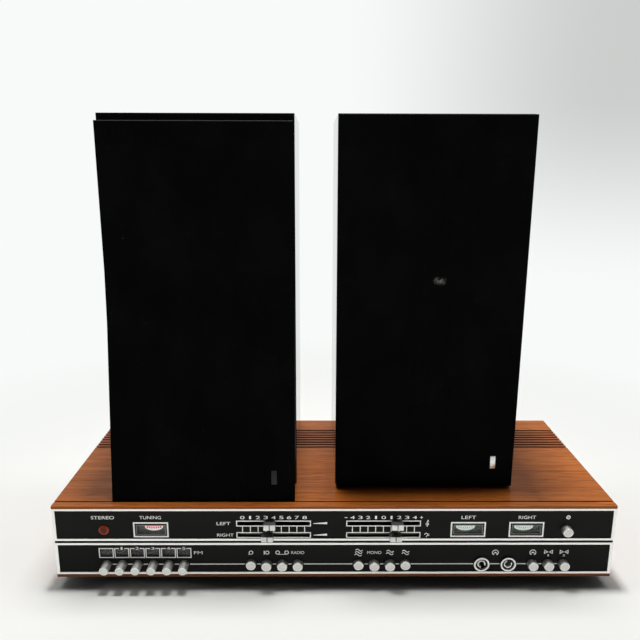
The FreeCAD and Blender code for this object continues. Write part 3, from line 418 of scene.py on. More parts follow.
def printed(name, ink, face, body, material):
    """Lifts the flat ink to its thickness on a face that looks towards -Y."""
    bmesh.ops.translate(ink, verts=ink.verts, vec=(0, (face - 0.01) * MM, 0))
    thickened(ink, INK_DEPTH)
    return new_piece(name, ink, material, body)


# screen ink, opaque white: chalky, with a slightly uneven film and tiny pinholes
white_ink = surfaced("screen_ink_white_printed", "#EDEDE8", [
    ((2.2, 2.2, 1.2), 3.0, 0.40, 0.75, "#D2D2CC", 1.0),
    ((0.35, 0.35, 0.35), 1.0, 0.68, 0.80, "#8F8F8A", 0.6),
], (0.50, 0.66), also={"Specular IOR Level": 0.30})
upper = bmesh.new()
legends = (("STEREO", -230.3, 23.0), ("TUNING", METER_X["tuning"], 21.4), ("LEFT", METER_X["left"], 14.4),
           ("RIGHT", METER_X["right"], 17.2))
for words, x, width in legends:
    lettered(upper, words, x, legend_z, UPPER_HEIGHT, width)
for x in METER_X.values():
    boxed(upper, x, meter_z, 35.0, 16.6, FRAME_LINE)
# the volume scale counts from 0 to 8, the tone scale from 4 down to 0 and up to 4 again
tick_pitch, slot_half, tone_first, tone_last = 7.73, 3.2, 17.7, 79.6
for middle, first in ((-60.9, -91.8), (48.65, tone_first)):
    for height in slot_z.values():
        boxed(upper, middle, height, 74.4, 2 * slot_half)
    for number in range(9):
        x = first + tick_pitch * number
        ruled(upper, [(x, slot_z["lower"] + slot_half), (x, slot_z["upper"] - slot_half)], SIGN_LINE)
        figure = str(number) if middle < 0 else str(abs(number - 4))
        lettered(upper, figure, x, legend_z, UPPER_HEIGHT, 2.0 if figure == "1" else 4.4)
lettered(upper, "-", tone_first - 6.6, legend_z, SIGN_LINE, 2.6)
x = tone_last + 6.6
ruled(upper, [(x - 1.4, legend_z), (x + 1.4, legend_z)], SIGN_LINE)
ruled(upper, [(x, legend_z - 1.4), (x, legend_z + 1.4)], SIGN_LINE)
for height, words, width in ((slot_z["upper"], "LEFT", 13.6), (slot_z["lower"], "RIGHT", 16.6)):
    lettered(upper, words, -117.5 + width / 2, height, 3.4, width)
    filled(upper, [(-21.3, height + 0.2), (-21.3, height - 0.3), (-7.6, height - 0.7), (-7.6, height + 1.6)])
# signs for treble and bass beside the tone slots
x, z = 92.0, slot_z["upper"]
stem = [(-0.2, -3.4), (0.6, -2.6), (0.1, 2.4), (0.9, 3.6), (1.4, 2.4), (-0.9, 0.2)]
clef = [(x + across, z + up) for across, up in stem] + arc(x + 0.2, z - 0.6, 1.3, 150, 420)
ruled(upper, clef, 0.55)
x, z = 92.0, slot_z["lower"]
ruled(upper, arc(x - 0.4, z + 0.4, 1.5, 190, -40) + [(x - 0.6, z - 2.2)], 0.7)
for height in (0.9, -0.5):
    filled(upper, arc(x + 2.1, z + height, 0.45, 0, 324, 9))
# power sign over its button
ringed(upper, 232.6, legend_z, 1.75)
ruled(upper, [(231.6, legend_z - 0.9), (233.6, legend_z + 0.9)], 0.7)
printed("upper_fascia_printing", upper, panel_face, "receiver", white_ink)

lower = bmesh.new()
preset_x = [-190.3 + 15.6 * (number - 2.5) for number in range(6)]
preset_window_z = 38.5
for number, x in enumerate(preset_x):
    if number == 0:
        boxed(lower, x, preset_window_z, 14.8, 11.1)
        continue
    gap, side = 2.6, 6.9
    top, foot = preset_window_z + 5.05, preset_window_z - 5.05
    ruled(lower, [(x - gap, top), (x - side, top), (x - side, foot), (x + side, foot), (x + side, top),
                  (x + gap, top)])
    lettered(lower, str(number), x, top + 0.2, 2.9, 1.8 if number == 1 else 3.4)
lettered(lower, "FM", -137.0, lower_legend_z, LOWER_HEIGHT, 8.6)
button_pitch = 15.75
source_x = [-60.6 + button_pitch * (number - 1.5) for number in range(4)]
mode_x = [47.9 + button_pitch * (number - 1.5) for number in range(4)]
speaker_x = [215.9 + button_pitch * (number - 1) for number in range(3)]
socket_x = [148.8, 175.7]
# one line runs through all the lower controls and stops short of each hole
holes = [(x, 5.4) for x in preset_x] + [(x, 6.0) for x in source_x + mode_x]
holes += [(x, 8.3) for x in socket_x] + [(x, 6.0) for x in speaker_x]
for (left_hole, left_reach), (right_hole, right_reach) in zip(holes, holes[1:]):
    ruled(lower, [(left_hole + left_reach, button_z), (right_hole - right_reach, button_z)], 1.1)
z = lower_legend_z
# record player: a disc with its foot
x = source_x[0]
ringed(lower, x + 0.2, z, 1.85)
ruled(lower, [(x - 2.4, z - 1.9), (x + 0.4, z - 1.9)], SIGN_LINE)
# microphone: a bar and a disc
x = source_x[1]
ruled(lower, [(x - 2.2, z - 2.1), (x - 2.2, z + 2.1)], 1.1)
ringed(lower, x + 0.8, z, 1.75)
# tape: two reels with the tape below
x = source_x[2]
for side in (-4.5, 4.5):
    ringed(lower, x + side, z + 0.1, 1.85)
ruled(lower, [(x - 4.5, z - 1.9), (x + 4.5, z - 1.9)], 0.6)
lettered(lower, "RADIO", source_x[3], z, LOWER_HEIGHT, 13.0)
lettered(lower, "MONO", mode_x[1], z, LOWER_HEIGHT, 14.2)
# filters: three or two waves above each other
for x, waves in ((mode_x[0], 3), (mode_x[2], 2), (mode_x[3], 2)):
    for number in range(waves):
        level = number - (waves - 1) / 2
        left, height = x + 0.4 * level - 3.5, z + 2.7 * level
        shares = [step / 16 for step in range(17)]
        wave = [(left + 7.0 * share, height + 1.15 * math.sin(2 * math.pi * share)) for share in shares]
        ruled(lower, wave, 0.85)
# headphones: a band with two pads over a head
for x in (sum(socket_x) / 2, speaker_x[0]):
    ruled(lower, arc(x, z - 0.3, 3.0, -25, 205), SIGN_LINE)
    for side in (-1, 1):
        ruled(lower, [(x + side * 2.5, z - 1.2), (x + side * 1.5, z - 2.7)], 1.3)
    filled(lower, arc(x, z - 0.9, 1.5, 0, 180, 10))
# loudspeakers: two horns and the number of the pair
for number, x in ((1, speaker_x[1]), (2, speaker_x[2])):
    for side in (-1, 1):
        horn = [(x + side * 0.9, z + 0.5), (x + side * 4.0, z + 2.3), (x + side * 4.0, z - 1.3)]
        ruled(lower, horn, 0.75, closed=True)
    lettered(lower, str(number), x, z - 3.4, 2.3, 1.3 if number == 1 else 2.6)
lower_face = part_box("lower_fascia")[0].y / MM
printed("lower_fascia_printing", lower, lower_face, "receiver", white_ink)

# Meters and windows: three small moving-coil meters in grey moulded cases behind the upper fascia, with
# clear acrylic windows pressed into the panels. Each window has a moulded rim, and each meter a printed card
# with a pale scale just behind the window.
dial_face = panel_face + 9.0
screen_face = panel_face + 2.6


def printed_card(name, ground, fleck, glow=0.0):
    """Coated card, offset printed: an even matt colour with a trace of paper fibre. glow is a painted glow:
    the card emits light in its own colour, though no lamp is in it."""
    made, tree, place = new_material(name)
    colour, (fibre,) = marked(tree, place, ground, [
        ((1.6, 1.6, 0.5), 3.0, 0.40, 0.75, fleck, 1.0),
    ])
    shader = add(tree, "BsdfPrincipled", {
        "Base Color": colour,
        "Roughness": add(tree, "MapRange", {"Value": fibre, "To Min": 0.55, "To Max": 0.72}),
        "Emission Color": colour,
        "Emission Strength": glow,
    })
    add(tree, "OutputMaterial", {"Surface": shader})
    return made


# cast acrylic, polished: nearly clear, with a faint grey veil of dust and a sharp shine
acrylic = surfaced("acrylic_clear_polished", "#8F928F", [
    ((9.0, 9.0, 9.0), 3.0, 0.45, 0.75, "#A2A5A2", 1.0),
], (0.04, 0.12), also={"IOR": 1.49, "Alpha": 0.10})
dress(acrylic, "display_windows")
dress(moulded_abs("abs_grey_moulded", "#50524E", "#5E605B", 0.4), "meter_cases")
needle_paint = moulded_abs("needle_lacquer_black_dipped", "#0B0B0B", "#171514", 0.5)
dress(needle_paint, *(f"{name}_meter_needle" for name in METER_X))
rim_plastic = moulded_abs("abs_pale_grey_moulded", "#5E615D", "#747773", 0.5)
# painted glow: every card here but the charcoal tapes emits a little light in its own colour, the scales and
# marks most
dial_grey = printed_card("card_grey_printed_painted_glow", "#4A4C49", "#5A5C58", 0.1)
dial_white = printed_card("card_white_printed_painted_glow", "#E6E2DC", "#CFC9C2", 0.5)
dial_green = printed_card("card_pale_green_printed_painted_glow", "#C9D6CD", "#AEBBB2", 0.5)
dial_red = printed_card("card_red_printed_painted_glow", "#B9323F", "#9C2432", 0.4)
dial_pink = printed_card("card_pink_printed_painted_glow", "#E9A9AE", "#D98F97", 0.5)
rims = bmesh.new()
for name, x in METER_X.items():
    card = bmesh.new()
    filled(card, corners(x, meter_z, 14.7, 5.25))
    printed(f"{name}_meter_card", card, dial_face, "receiver", dial_grey)
    boxed(rims, x, meter_z, 29.6, 10.6, 0.9)
    # a scale with a curved foot, lit through the window
    tuning = name == "tuning"
    middle, half, foot = (x + 2.6, 9.0, 62.2) if tuning else (x - 2.2, 9.6, 62.0)
    shoulder, top = 66.6, 69.45
    turns = [math.radians(turn) for turn in range(-90, 91, 9)]
    sag = foot - shoulder
    curve = [(middle + half * math.sin(turn), shoulder + sag * math.cos(turn)) for turn in turns]
    scale = bmesh.new()
    filled(scale, [(middle - half, top)] + curve + [(middle + half, top)])
    scale_card = dial_white if tuning else dial_green
    printed(f"{name}_meter_scale", scale, screen_face, "receiver", scale_card)
    marks = bmesh.new()
    if tuning:
        filled(marks, corners(middle, 67.125, 7.8, 2.125))
        printed("tuning_meter_band", marks, screen_face - 0.06, "receiver", dial_pink)
        marks = bmesh.new()
    for number in range(-3, 4):
        spot = middle + 2.2 * number
        low = 64.3 + 0.10 * number * number
        ruled(marks, [(spot, low), (spot, low + 1.5)], 1.1 if tuning else 0.5)
    mark_card = dial_red if tuning else dial_grey
    printed(f"{name}_meter_marks", marks, screen_face - 0.12, "receiver", mark_card)
thickened(rims, 0.5)
bmesh.ops.translate(rims, verts=rims.verts, vec=(0, (panel_face + 0.25) * MM, 0))
rim_edges = [edge for edge in rims.edges if edge.calc_face_angle(0) > 1.0]
bmesh.ops.bevel(rims, geom=rim_edges, offset=0.2 * MM, segments=2, affect="EDGES")
new_piece("meter_window_rims", rims, rim_plastic, "receiver")
# dark tuning tapes behind the preset windows
tapes = bmesh.new()
for x in preset_x:
    filled(tapes, corners(x, preset_window_z, 5.7, 3.9))
tape_card = printed_card("card_charcoal_printed", "#1F201E", "#232422")
printed("preset_tapes", tapes, panel_face + 2.4, "receiver", tape_card)

# Stereo lamp: a domed lens of moulded red polycarbonate, pressed into the panel from the front, with a small
# bulb behind it.
LAMP_X, LAMP_RADIUS = -229.8, 5.0


def red_lens():
    """Polycarbonate, moulded and dyed red: dark wine red in the middle where the bulb is off, with a brighter
    orange rim painted in as painted light, for light led round the edge, and ribs 1.2 mm apart inside the
    dome."""
    made, tree, place = new_material("polycarbonate_red_moulded")
    size = LAMP_RADIUS * MM
    about = add(tree, "Mapping", {"Vector": place, "Scale": (1 / size, 0, 1 / size),
                                  "Location": (-LAMP_X / LAMP_RADIUS, 0, -meter_z / LAMP_RADIUS)})
    radius = add(tree, "VectorMath", {0: about}, "Value", operation="LENGTH")
    rim_highlight = add(tree, "MapRange", {"Value": radius, "From Min": 0.55, "From Max": 0.92})
    colour = add(tree, "Mix", {0: rim_highlight, 6: linear("#4A1408"), 7: linear("#A03A17")}, 2, data_type="RGBA")
    spacing = {"Vector": place, "Scale": 0.314 / (1.2 * MM), "Distortion": 0.0}
    ribs = add(tree, "TexWave", spacing, "Fac", bands_direction="X")
    shader = add(tree, "BsdfPrincipled", {
        "Base Color": colour,
        "Roughness": add(tree, "MapRange", {"Value": ribs, "To Min": 0.10, "To Max": 0.22}),
        "Normal": add(tree, "Bump", {"Height": ribs, "Strength": 1.0, "Distance": 0.12 * MM}),
        "IOR": 1.58,
        "Specular IOR Level": 0.2,
        "Subsurface Weight": 0.15,
    })
    add(tree, "OutputMaterial", {"Surface": shader})
    return made


dress(red_lens(), "stereo_lamp")

# Push buttons: solid aluminium turned on a lathe and clear anodised, each on the stem of its switch.
# Six are long preset buttons that also tune, and the rest are short.


def turned_aluminium():
    """Aluminium bar, turned and clear anodised: bright, with rings on the face and round the side. The tool
    leaves lines 0.1 mm apart, drawn 0.5 mm apart so that they show. The middle of the face is painted greyer
    as painted shade, and its outer ring and the side paler as a painted highlight."""
    made, tree, place = new_material("aluminium_turned_clear_anodised")
    box_place = add(tree, "TexCoord", {}, "Generated")
    about = add(tree, "Mapping", {"Vector": box_place, "Location": (-0.5, 0, -0.5), "Scale": (1, 0, 1)})
    radius = add(tree, "VectorMath", {0: about}, "Value", operation="LENGTH")
    turns = add(tree, "VectorMath", {0: place, 1: (0, 1 / (0.5 * MM), 0)}, "Value", operation="DOT_PRODUCT")
    rings = add(tree, "Math", {0: radius, 1: 20.0, 2: turns}, operation="MULTIPLY_ADD")
    tool = add(tree, "TexNoise", {"W": rings, "Scale": 1.0, "Detail": 2.0}, noise_dimensions="1D")
    handled = add(tree, "TexNoise", {"Vector": place, "Scale": 1 / (4.0 * MM), "Detail": 3.0})
    tone = add(tree, "Math", {0: tool, 1: 0.7}, operation="MULTIPLY")
    worn = add(tree, "Math", {0: handled, 1: 0.3, 2: tone}, operation="MULTIPLY_ADD")
    colour = add(tree, "Mix", {0: worn, 6: linear("#BCBCB7"), 7: linear("#E6E6E1")}, 2, data_type="RGBA")
    # painted highlight: the outer ring of the face and the side are painted paler than the face's middle,
    # which is painted greyer as painted shade
    rim_highlight = add(tree, "MapRange", {"Value": radius, "From Min": 0.34, "From Max": 0.42})
    shader = add(tree, "BsdfPrincipled", {
        "Base Color": add(tree, "Mix", {0: rim_highlight, 6: colour, 7: linear("#F4F4F0")}, 2, data_type="RGBA"),
        "Metallic": 1.0,
        "Roughness": add(tree, "MapRange", {"Value": rim_highlight, "To Min": 0.30, "To Max": 0.48}),
        "Normal": add(tree, "Bump", {"Height": tool, "Strength": 1.0, "Distance": 0.003 * MM}),
    })
    add(tree, "OutputMaterial", {"Surface": shader})
    return made


button_rows = {"preset": 6, "source": 4, "mode": 4, "speaker": 3}
buttons = [f"{row}_button_{number}" for row, count in button_rows.items() for number in range(1, count + 1)]
dress(turned_aluminium(), "power_button", *buttons)

# Slider knobs: a black moulded cap with ribs on its top and bottom and a white plate let into its front,
# split by an index line. A flat tang carries the cap through the slot into the potentiometer.
white_abs = moulded_abs("abs_white_moulded", "#E4E4DE", "#D2D2CB", 0.5)
slider_black = moulded_abs("abs_charcoal_moulded", "#4C4C4A", "#5E5E5B", 0.4)
for slider in ("volume_slider_left", "volume_slider_right", "treble_slider", "bass_slider"):
    low, high = (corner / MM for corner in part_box(slider))
    middle, axis = (low.x + high.x) / 2, (low.z + high.z) / 2
    cap = bmesh.new()
    bevelled_block(cap, (low.x, low.y + 0.7, low.z + 0.35), (high.x, panel_face - 0.5, high.z - 0.35), 0.4)
    tang_half, rib_pitch, groove_half = 2.5, 1.25, 0.4
    bevelled_block(cap, (middle - tang_half, panel_face - 0.6, axis - 0.8),
                   (middle + tang_half, high.y, axis + 0.8), 0.2)
    for number in range(-4, 5):
        spot = middle + rib_pitch * number
        for under, over in ((high.z - 0.5, high.z), (low.z, low.z + 0.5)):
            bevelled_block(cap, (spot - 0.35, low.y + 1.2, under),
                           (spot + 0.35, panel_face - 1.0, over), 0.15)
    bevelled_block(cap, (middle - groove_half, low.y + 0.15, low.z + 0.3),
                   (middle + groove_half, low.y + 1.4, high.z - 0.3), 0.1)
    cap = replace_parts(new_piece(f"{slider}_cap", cap, slider_black, slider), slider)
    plate = bmesh.new()
    for start, end in ((low.x + 0.15, middle - groove_half), (middle + groove_half, high.x - 0.15)):
        bevelled_block(plate, (start, low.y, low.z + 0.2), (end, low.y + 1.0, high.z - 0.2), 0.3)
    new_piece(f"{slider}_front_plate", plate, white_abs, slider)

# Headphone sockets: black moulded inserts with five pin holes, each behind a bright turned ring, with a
# split spring collar round the pins.
dress(black_abs, "headphone_sockets")
# turned brass with satin nickel plating: near white, with a soft shine and faint hazy spots
nickel = surfaced("brass_turned_nickel_plated", "#FAF9F6", [
    ((1.8, 1.8, 1.8), 3.0, 0.45, 0.75, "#D6D3CC", 1.0),
], (0.36, 0.48), also={"Metallic": 1.0})
rings, collars = bmesh.new(), bmesh.new()
ring_outline = [(6.0, 1.0), (6.0, -1.7), (6.15, -1.95), (6.3, -2.0), (7.6, -2.0), (7.75, -1.95), (7.9, -1.75),
                (7.9, -1.0)]
collar_outline = [(3.0, 5.2), (3.0, -0.85), (3.15, -1.0), (3.95, -1.0), (4.1, -0.85), (4.1, 5.2)]
for x, start in zip(socket_x, (-22.0, 108.0)):
    lathe(rings, ring_outline, (x, lower_face, button_z), 64)
    sections = []
    for step in range(31):
        turn = math.radians(start + 284.0 * step / 30)
        section = [(x + radius * math.cos(turn), lower_face + depth, button_z + radius * math.sin(turn))
                   for radius, depth in collar_outline]
        sections.append([collars.verts.new(MM * Vector(place)) for place in section])
    for first, last in zip(sections, sections[1:]):
        for number in range(len(collar_outline)):
            collars.faces.new((first[number - 1], first[number], last[number], last[number - 1]))
    for end in (sections[0], sections[-1]):
        collars.faces.new(end)
new_piece("headphone_socket_rings", rings, nickel, "receiver")
new_piece("headphone_socket_collars", collars, nickel, "receiver")

# Loudspeaker cabinets: chipboard boxes wrapped in glossy black PVC foil, the back panel screwed into a
# rebate and holding the lead socket.
SIDES = {"left": -131.0, "right": 93.4}
# PVC foil, calendered and glued over chipboard: glossy black that mirrors at a low angle, with a faint wave
# from the board below and light scuffs
foil = surfaced("pvc_foil_black_calendered", "#060606", [
    ((3.0, 3.0, 26.0), 3.0, 0.66, 0.82, "#242424", 0.7),
    ((14.0, 14.0, 14.0), 2.0, 0.30, 0.70, "#0C0C0D", 1.0),
], (0.07, 0.30), relief=(1, 0.008), also={"Specular IOR Level": 0.45})
dress(foil, *(f"{side}_cabinet" for side in SIDES))
for side, middle in SIDES.items():
    low, high = (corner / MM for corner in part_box(f"{side}_cabinet"))
    screws = bmesh.new()
    inset, back_panel = 21, high.y - 3.0
    for x in (low.x + inset, middle, high.x - inset):
        for z in (low.z + inset, high.z - inset):
            slotted_screw(screws, (x, back_panel, z), 3.4, 1)
    for x in (low.x + inset, high.x - inset):
        slotted_screw(screws, (x, back_panel, (low.z + high.z) / 2), 3.4, 1)
    new_piece(f"{side}_cabinet_screws", screws, zinc, f"{side}_speaker")

# Drivers: each black-painted baffle carries a woofer with a pressed steel basket and a paper cone, and a
# small dome tweeter, screwed on from the front behind the grille.


def paper_cone(name, x, z):
    """Moulded paper pulp with a rubber roll round its edge: dull charcoal fibres, and a smooth dark roll
    outside 56 mm and cap inside 20 mm."""
    made, tree, place = new_material(name)
    colour, (fibre,) = marked(tree, place, "#24231F", [
        ((1.2, 1.2, 1.2), 4.0, 0.35, 0.70, "#393731", 1.0),
    ])
    about = add(tree, "Mapping", {"Vector": place, "Scale": (1 / MM, 0, 1 / MM), "Location": (-x, 0, -z)})
    radius = add(tree, "VectorMath", {0: about}, "Value", operation="LENGTH")
    roll = add(tree, "MapRange", {"Value": radius, "From Min": 55.5, "From Max": 56.5})
    cap = add(tree, "MapRange", {"Value": radius, "From Min": 20.5, "From Max": 19.5})
    smooth = add(tree, "Math", {0: roll, 1: cap}, operation="MAXIMUM")
    shader = add(tree, "BsdfPrincipled", {
        "Base Color": add(tree, "Mix", {0: smooth, 6: colour, 7: linear("#121212")}, 2, data_type="RGBA"),
        "Roughness": add(tree, "MapRange", {"Value": smooth, "To Min": 0.85, "To Max": 0.45}),
        "Normal": add(tree, "Bump", {"Height": fibre, "Strength": 1.0, "Distance": 0.06 * MM}),
    })
    add(tree, "OutputMaterial", {"Surface": shader})
    return made


# chipboard, brushed matt black: the chips show through the paint as a low grain
chipboard = surfaced("chipboard_painted_black", "#111111", [
    ((4.0, 4.0, 2.0), 3.0, 0.40, 0.70, "#1D1C1B", 1.0),
], (0.70, 0.86), relief=(0, 0.15))
dress(chipboard, *(f"{side}_baffle" for side in SIDES))
dress(enamel, *(f"{side}_woofer" for side in SIDES))
dress(black_abs, *(f"{side}_tweeter" for side in SIDES))
for side, middle in SIDES.items():
    low, high = (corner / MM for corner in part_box(f"{side}_woofer_cone"))
    dress(paper_cone(f"paper_pulp_moulded_{side}", middle, (low.z + high.z) / 2), f"{side}_woofer_cone")

# Grilles: a softwood frame with a cross bar, painted black, and black acoustic cloth stretched over its
# face and pulled round its edges. The left one has slipped and is warped, with its foot out on the deck.
GRILLE_HALF, GRILLE_DEPTH, CLOTH_THICKNESS, CLOTH_WRAP = 91.0, 10.0, 0.2, 9.2
HINGE_Y, HINGE_Z = -57.8, {"left": 457.52, "right": 463.8}
# how far the back of each frame stands out at some drops below its top
STAND_OUT = {"left": [(0.0, 0.0), (0.0, 139.87), (3.47, 189.87), (28.0, 366.42)],
             "right": [(0.0, 0.0), (0.0, 370.5)]}


def acoustic_cloth():
    """Plain-woven polyester, dyed black: it drinks the light, shows its threads close up and carries specks
    of lint. The threads lie 0.6 mm apart, drawn 1.2 mm apart so that they show."""
    made, tree, place = new_material("polyester_cloth_black_woven")
    colour, _ = marked(tree, place, "#040404", [
        ((40.0, 40.0, 60.0), 3.0, 0.40, 0.75, "#070707", 1.0),
        ((1.3, 1.3, 1.3), 1.0, 0.79, 0.86, "#6E6E6A", 0.7),
    ])
    spacing = {"Vector": place, "Scale": 0.314 / (1.2 * MM), "Distortion": 0.6, "Detail": 1.0}
    weave = [add(tree, "TexWave", spacing, "Fac", bands_direction=direction) for direction in ("X", "Z")]
    threads = add(tree, "Math", {0: weave[0], 1: weave[1]}, operation="MULTIPLY")
    # painted highlight: the cloth is painted pale grey where it faces up, for its top edge lit from above
    normal = add(tree, "NewGeometry", {}, "True Normal")
    facing = add(tree, "VectorMath", {0: normal, 1: (0, 0, 1)}, "Value", operation="DOT_PRODUCT")
    top_highlight = add(tree, "MapRange", {"Value": facing, "From Min": 0.5, "From Max": 0.9, "To Max": 0.9})
    colour = add(tree, "Mix", {0: top_highlight, 6: colour, 7: linear("#494844")}, 2, data_type="RGBA")
    # a smudge of lint on the right-hand cloth, 13 by 8 mm
    about = add(tree, "Mapping", {"Vector": place, "Scale": (1 / (6.5 * MM), 0, 1 / (4.0 * MM)),
                                  "Location": (-101.0 / 6.5, 0, -309.8 / 4.0)})
    away = add(tree, "VectorMath", {0: about}, "Value", operation="LENGTH")
    near = add(tree, "MapRange", {"Value": away, "From Min": 1.2, "From Max": 0.3})
    tufts = add(tree, "TexNoise", {"Vector": place, "Scale": 1 / (3.0 * MM), "Detail": 3.0})
    tufts = add(tree, "MapRange", {"Value": tufts, "From Min": 0.45, "From Max": 0.65, "To Max": 0.5})
    smudge = add(tree, "Math", {0: near, 1: tufts}, operation="MULTIPLY")
    colour = add(tree, "Mix", {0: smudge, 6: colour, 7: linear("#6A6A66")}, 2, data_type="RGBA")
    shader = add(tree, "BsdfPrincipled", {
        "Base Color": colour,
        "Roughness": add(tree, "MapRange", {"Value": threads, "To Min": 0.96, "To Max": 0.84}),
        "Normal": add(tree, "Bump", {"Height": threads, "Strength": 0.6, "Distance": 0.15 * MM}),
        "Specular IOR Level": 0.02,
    })
    add(tree, "OutputMaterial", {"Surface": shader})
    return made


def edge_path(half_size, middle, cells):
    """Places across a stretched cloth with how far each has gone back round the edge: wrapped side, rounded
    edge, face, and the same again."""
    round_edge = 1.3
    first = [(-half_size, CLOTH_WRAP)]
    for turn in (math.radians(angle) for angle in (90, 60, 30)):
        first.append((-half_size + round_edge * (1 - math.sin(turn)), round_edge * (1 - math.cos(turn))))
    flat = half_size - round_edge
    face = [(-flat + 2 * flat * step / cells, 0.0) for step in range(cells + 1)]
    last = [(-place, back) for place, back in reversed(first)]
    return [(middle + place, back) for place, back in first + face + last]


def stands_out(side, drop):
    """How far a frame stands out at a drop below its top."""
    for (near, begin), (far, end) in zip(STAND_OUT[side], STAND_OUT[side][1:]):
        if drop <= end:
            return near + (far - near) * max(0.0, drop - begin) / (end - begin)
    return STAND_OUT[side][-1][0]


cloth_finish = acoustic_cloth()
# painted shade: the left plate is the same bright plate as the right one, given black enamel because it sits
# dark in its tilted place
plate_finish_left_shaded = {"left": enamel, "right": bright_bar}
# softwood batten, dipped in black paint: matt, with the grain raised along it
softwood = surfaced("softwood_painted_black", "#0D0D0D", [
    ((2.0, 2.0, 40.0), 3.0, 0.40, 0.70, "#1A1918", 1.0),
], (0.62, 0.80), relief=(0, 0.08), also={"Specular IOR Level": 0.3})
dress(softwood, *(f"{side}_grille_frame" for side in SIDES))
for side, middle in SIDES.items():
    height = STAND_OUT[side][-1][1]
    across = edge_path(GRILLE_HALF + CLOTH_THICKNESS, 0.0, 36)
    along = edge_path(height / 2 + CLOTH_THICKNESS, -height / 2, 74)
    cloth = bmesh.new()
    grid = []
    for z, back_z in along:
        row = []
        for x, back_x in across:
            # the cloth is drawn in a little between the bars of the frame
            bay = abs(math.sin(2 * math.pi * min(1.0, max(0.0, -z / height)))) * max(0.0, 1 - (x / 80.0) ** 2)
            back = min(CLOTH_WRAP, math.hypot(back_x, back_z)) + 0.5 * bay
            back -= GRILLE_DEPTH + stands_out(side, -z)
            row.append(cloth.verts.new(MM * Vector((middle + x, HINGE_Y + back, HINGE_Z[side] + z))))
        grid.append(row)
    # the four corners of the wrapped edge are cut out
    for i, (first, last) in enumerate(zip(grid, grid[1:])):
        for j in range(len(across) - 1):
            if not (i in (0, len(along) - 2) and j in (0, len(across) - 2)):
                cloth.faces.new((first[j], first[j + 1], last[j + 1], last[j]))
    piece = new_piece(f"{side}_grille_stretched_cloth", cloth, cloth_finish, f"{side}_grille")
    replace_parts(piece, f"{side}_grille_cloth")
    # a small plain plate near the lower right corner, laid along the slope of the cloth
    plate = bmesh.new()
    bevelled_block(plate, (-2.7, -0.6, -7.0), (2.7, 0.2, 7.0), 0.3)
    drop = {"left": 342.0, "right": 343.6}[side]
    slope = math.atan2(stands_out(side, drop + 1) - stands_out(side, drop - 1), 2.0)
    spot = (middle + {"left": 70.6, "right": 70.0}[side], HINGE_Y - GRILLE_DEPTH - stands_out(side, drop),
            HINGE_Z[side] - drop)
    bmesh.ops.transform(plate, verts=plate.verts, matrix=Matrix.Translation(MM * Vector(spot))
                        @ Matrix.Rotation(-slope, 4, "X"))
    new_piece(f"{side}_grille_plate", plate, plate_finish_left_shaded[side], f"{side}_grille")

# Studio: a pale floor that fades into a white background, a long strip light and a small softbox overhead, a
# white card on the floor in front, a dark room behind the camera, and the camera of the photograph.
BACKGROUND, BACKGROUND_SHADE = "#F8FAF9", "#CBCECC"


def studio_floor():
    """Painted board: an even white near the object that turns to the background's white further off, also in
    gloss and through glass, and that keeps the shadow."""
    made, tree, place = new_material("studio_floor_white_paint")
    far = add(tree, "VectorMath", {0: place}, "Value", operation="LENGTH")
    fade = add(tree, "MapRange", {"Value": far, "From Min": 0.34, "From Max": 0.9},
               interpolation_type="SMOOTHSTEP")
    seen = add(tree, "LightPath", {}, "Is Camera Ray")
    for ray in ("Is Glossy Ray", "Is Transmission Ray"):
        seen = add(tree, "Math", {0: seen, 1: add(tree, "LightPath", {}, ray)}, operation="MAXIMUM")
    white = {"Base Color": linear("#F4F4F1"), "Roughness": 0.65, "Specular IOR Level": 0.2}
    paint = add(tree, "BsdfPrincipled", white)
    glow = add(tree, "Emission", {"Color": linear(BACKGROUND), "Strength": 1.0})
    share = add(tree, "Math", {0: fade, 1: seen}, operation="MULTIPLY")
    add(tree, "OutputMaterial", {"Surface": add(tree, "MixShader", {0: share, 1: paint, 2: glow})})
    return made


ground = bmesh.new()
bmesh.ops.create_circle(ground, cap_ends=True, segments=96, radius=1.4)
ground_mesh = bpy.data.meshes.new("studio_floor")
ground.to_mesh(ground_mesh)
ground.free()
ground_mesh.materials.append(studio_floor())
floor = bpy.data.objects.new("studio_floor", ground_mesh)
bpy.context.scene.collection.objects.link(floor)

world = bpy.data.worlds.new("studio_light")
bpy.context.scene.world = world
world.use_nodes = True
sky = world.node_tree
sky.nodes.clear()
look = add(sky, "TexCoord", {}, "Generated")
# the room in front of the object is dark, and the wall behind it is bright
front = add(sky, "VectorMath", {0: look, 1: (0, -1, 0)}, "Value", operation="DOT_PRODUCT")
lit_side = add(sky, "MapRange", {"Value": front, "From Min": -0.5, "From Max": 0.15,
                                 "To Min": 1.0, "To Max": 0.04})
mirrored = add(sky, "LightPath", {}, "Is Glossy Ray")
level = add(sky, "MapRange", {"Value": mirrored, "To Min": 0.42, "To Max": 1.0})
light = add(sky, "Math", {0: lit_side, 1: level}, operation="MULTIPLY")
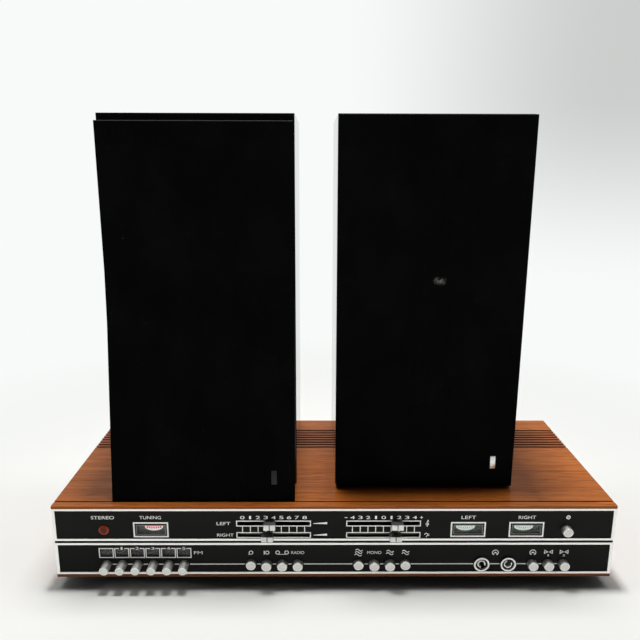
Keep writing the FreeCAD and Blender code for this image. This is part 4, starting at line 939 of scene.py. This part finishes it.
# bright metal mirrors a white ceiling
up = add(sky, "VectorMath", {0: look, 1: (0, 0, 1)}, "Value", operation="DOT_PRODUCT")
ceiling = add(sky, "MapRange", {"Value": up, "From Min": 0.45, "From Max": 0.80, "To Max": 0.85})
ceiling = add(sky, "Math", {0: ceiling, 1: mirrored}, operation="MULTIPLY")
light = add(sky, "Math", {0: light, 1: ceiling}, operation="MAXIMUM")
direct = add(sky, "LightPath", {}, "Is Camera Ray")
through = add(sky, "LightPath", {}, "Is Transmission Ray")
seen = add(sky, "Math", {0: direct, 1: through}, operation="MAXIMUM")
strength = add(sky, "MapRange", {"Value": seen, "To Min": light, "To Max": 1.0})
# the wall is greyer up and to the right
right = add(sky, "VectorMath", {0: look, 1: (1, 0, 0)}, "Value", operation="DOT_PRODUCT")
rightward = add(sky, "MapRange", {"Value": right, "From Min": 0.02, "From Max": 0.40},
                interpolation_type="SMOOTHSTEP")
upward = add(sky, "MapRange", {"Value": up, "From Min": -0.18, "From Max": 0.10},
             interpolation_type="SMOOTHSTEP")
shade = add(sky, "Math", {0: rightward, 1: upward}, operation="MULTIPLY")
wall = add(sky, "Mix", {0: shade, 6: linear(BACKGROUND), 7: linear(BACKGROUND_SHADE)}, 2, data_type="RGBA")
add(sky, "OutputWorld", {"Surface": add(sky, "Background", {"Color": wall, "Strength": strength})})

for name, spot, turn, size, power in (("overhead_strip", (0.0, 0.08, 1.9), 0.0, (2.4, 0.3), 15.0),
                                      ("boom_softbox", (-0.02, 0.08, 1.9), 0.0, (0.24, 0.24), 23.0),
                                      ("floor_card", (0.0, -0.70, 0.004), math.pi, (2.6, 0.70), 28.0)):
    lamp = bpy.data.lights.new(name, "AREA")
    lamp.shape, lamp.energy = "RECTANGLE", power
    lamp.size, lamp.size_y = size
    holder = bpy.data.objects.new(name, lamp)
    holder.location = spot
    holder.rotation_euler = (turn, 0.0, 0.0)
    holder.visible_camera = False
    holder.visible_glossy = name != "floor_card"
    bpy.context.scene.collection.objects.link(holder)

lens = bpy.data.cameras.new("photo_camera")
lens.sensor_width, lens.lens = 36.0, 37.196
lens.clip_start, lens.clip_end = 0.01, 100.0
camera = bpy.data.objects.new("photo_camera", lens)
pitch, yaw, roll = (math.radians(angle) for angle in (13.59, 0.371, -0.151))
camera.matrix_world = (Matrix.Translation((-0.01906, -0.6955, 0.4227)) @ Matrix.Rotation(-yaw, 4, "Z")
                       @ Matrix.Rotation(math.pi / 2 - pitch, 4, "X") @ Matrix.Rotation(-roll, 4, "Z"))
bpy.context.scene.collection.objects.link(camera)
bpy.context.scene.camera = camera
bpy.context.scene.view_settings.view_transform = "Standard"
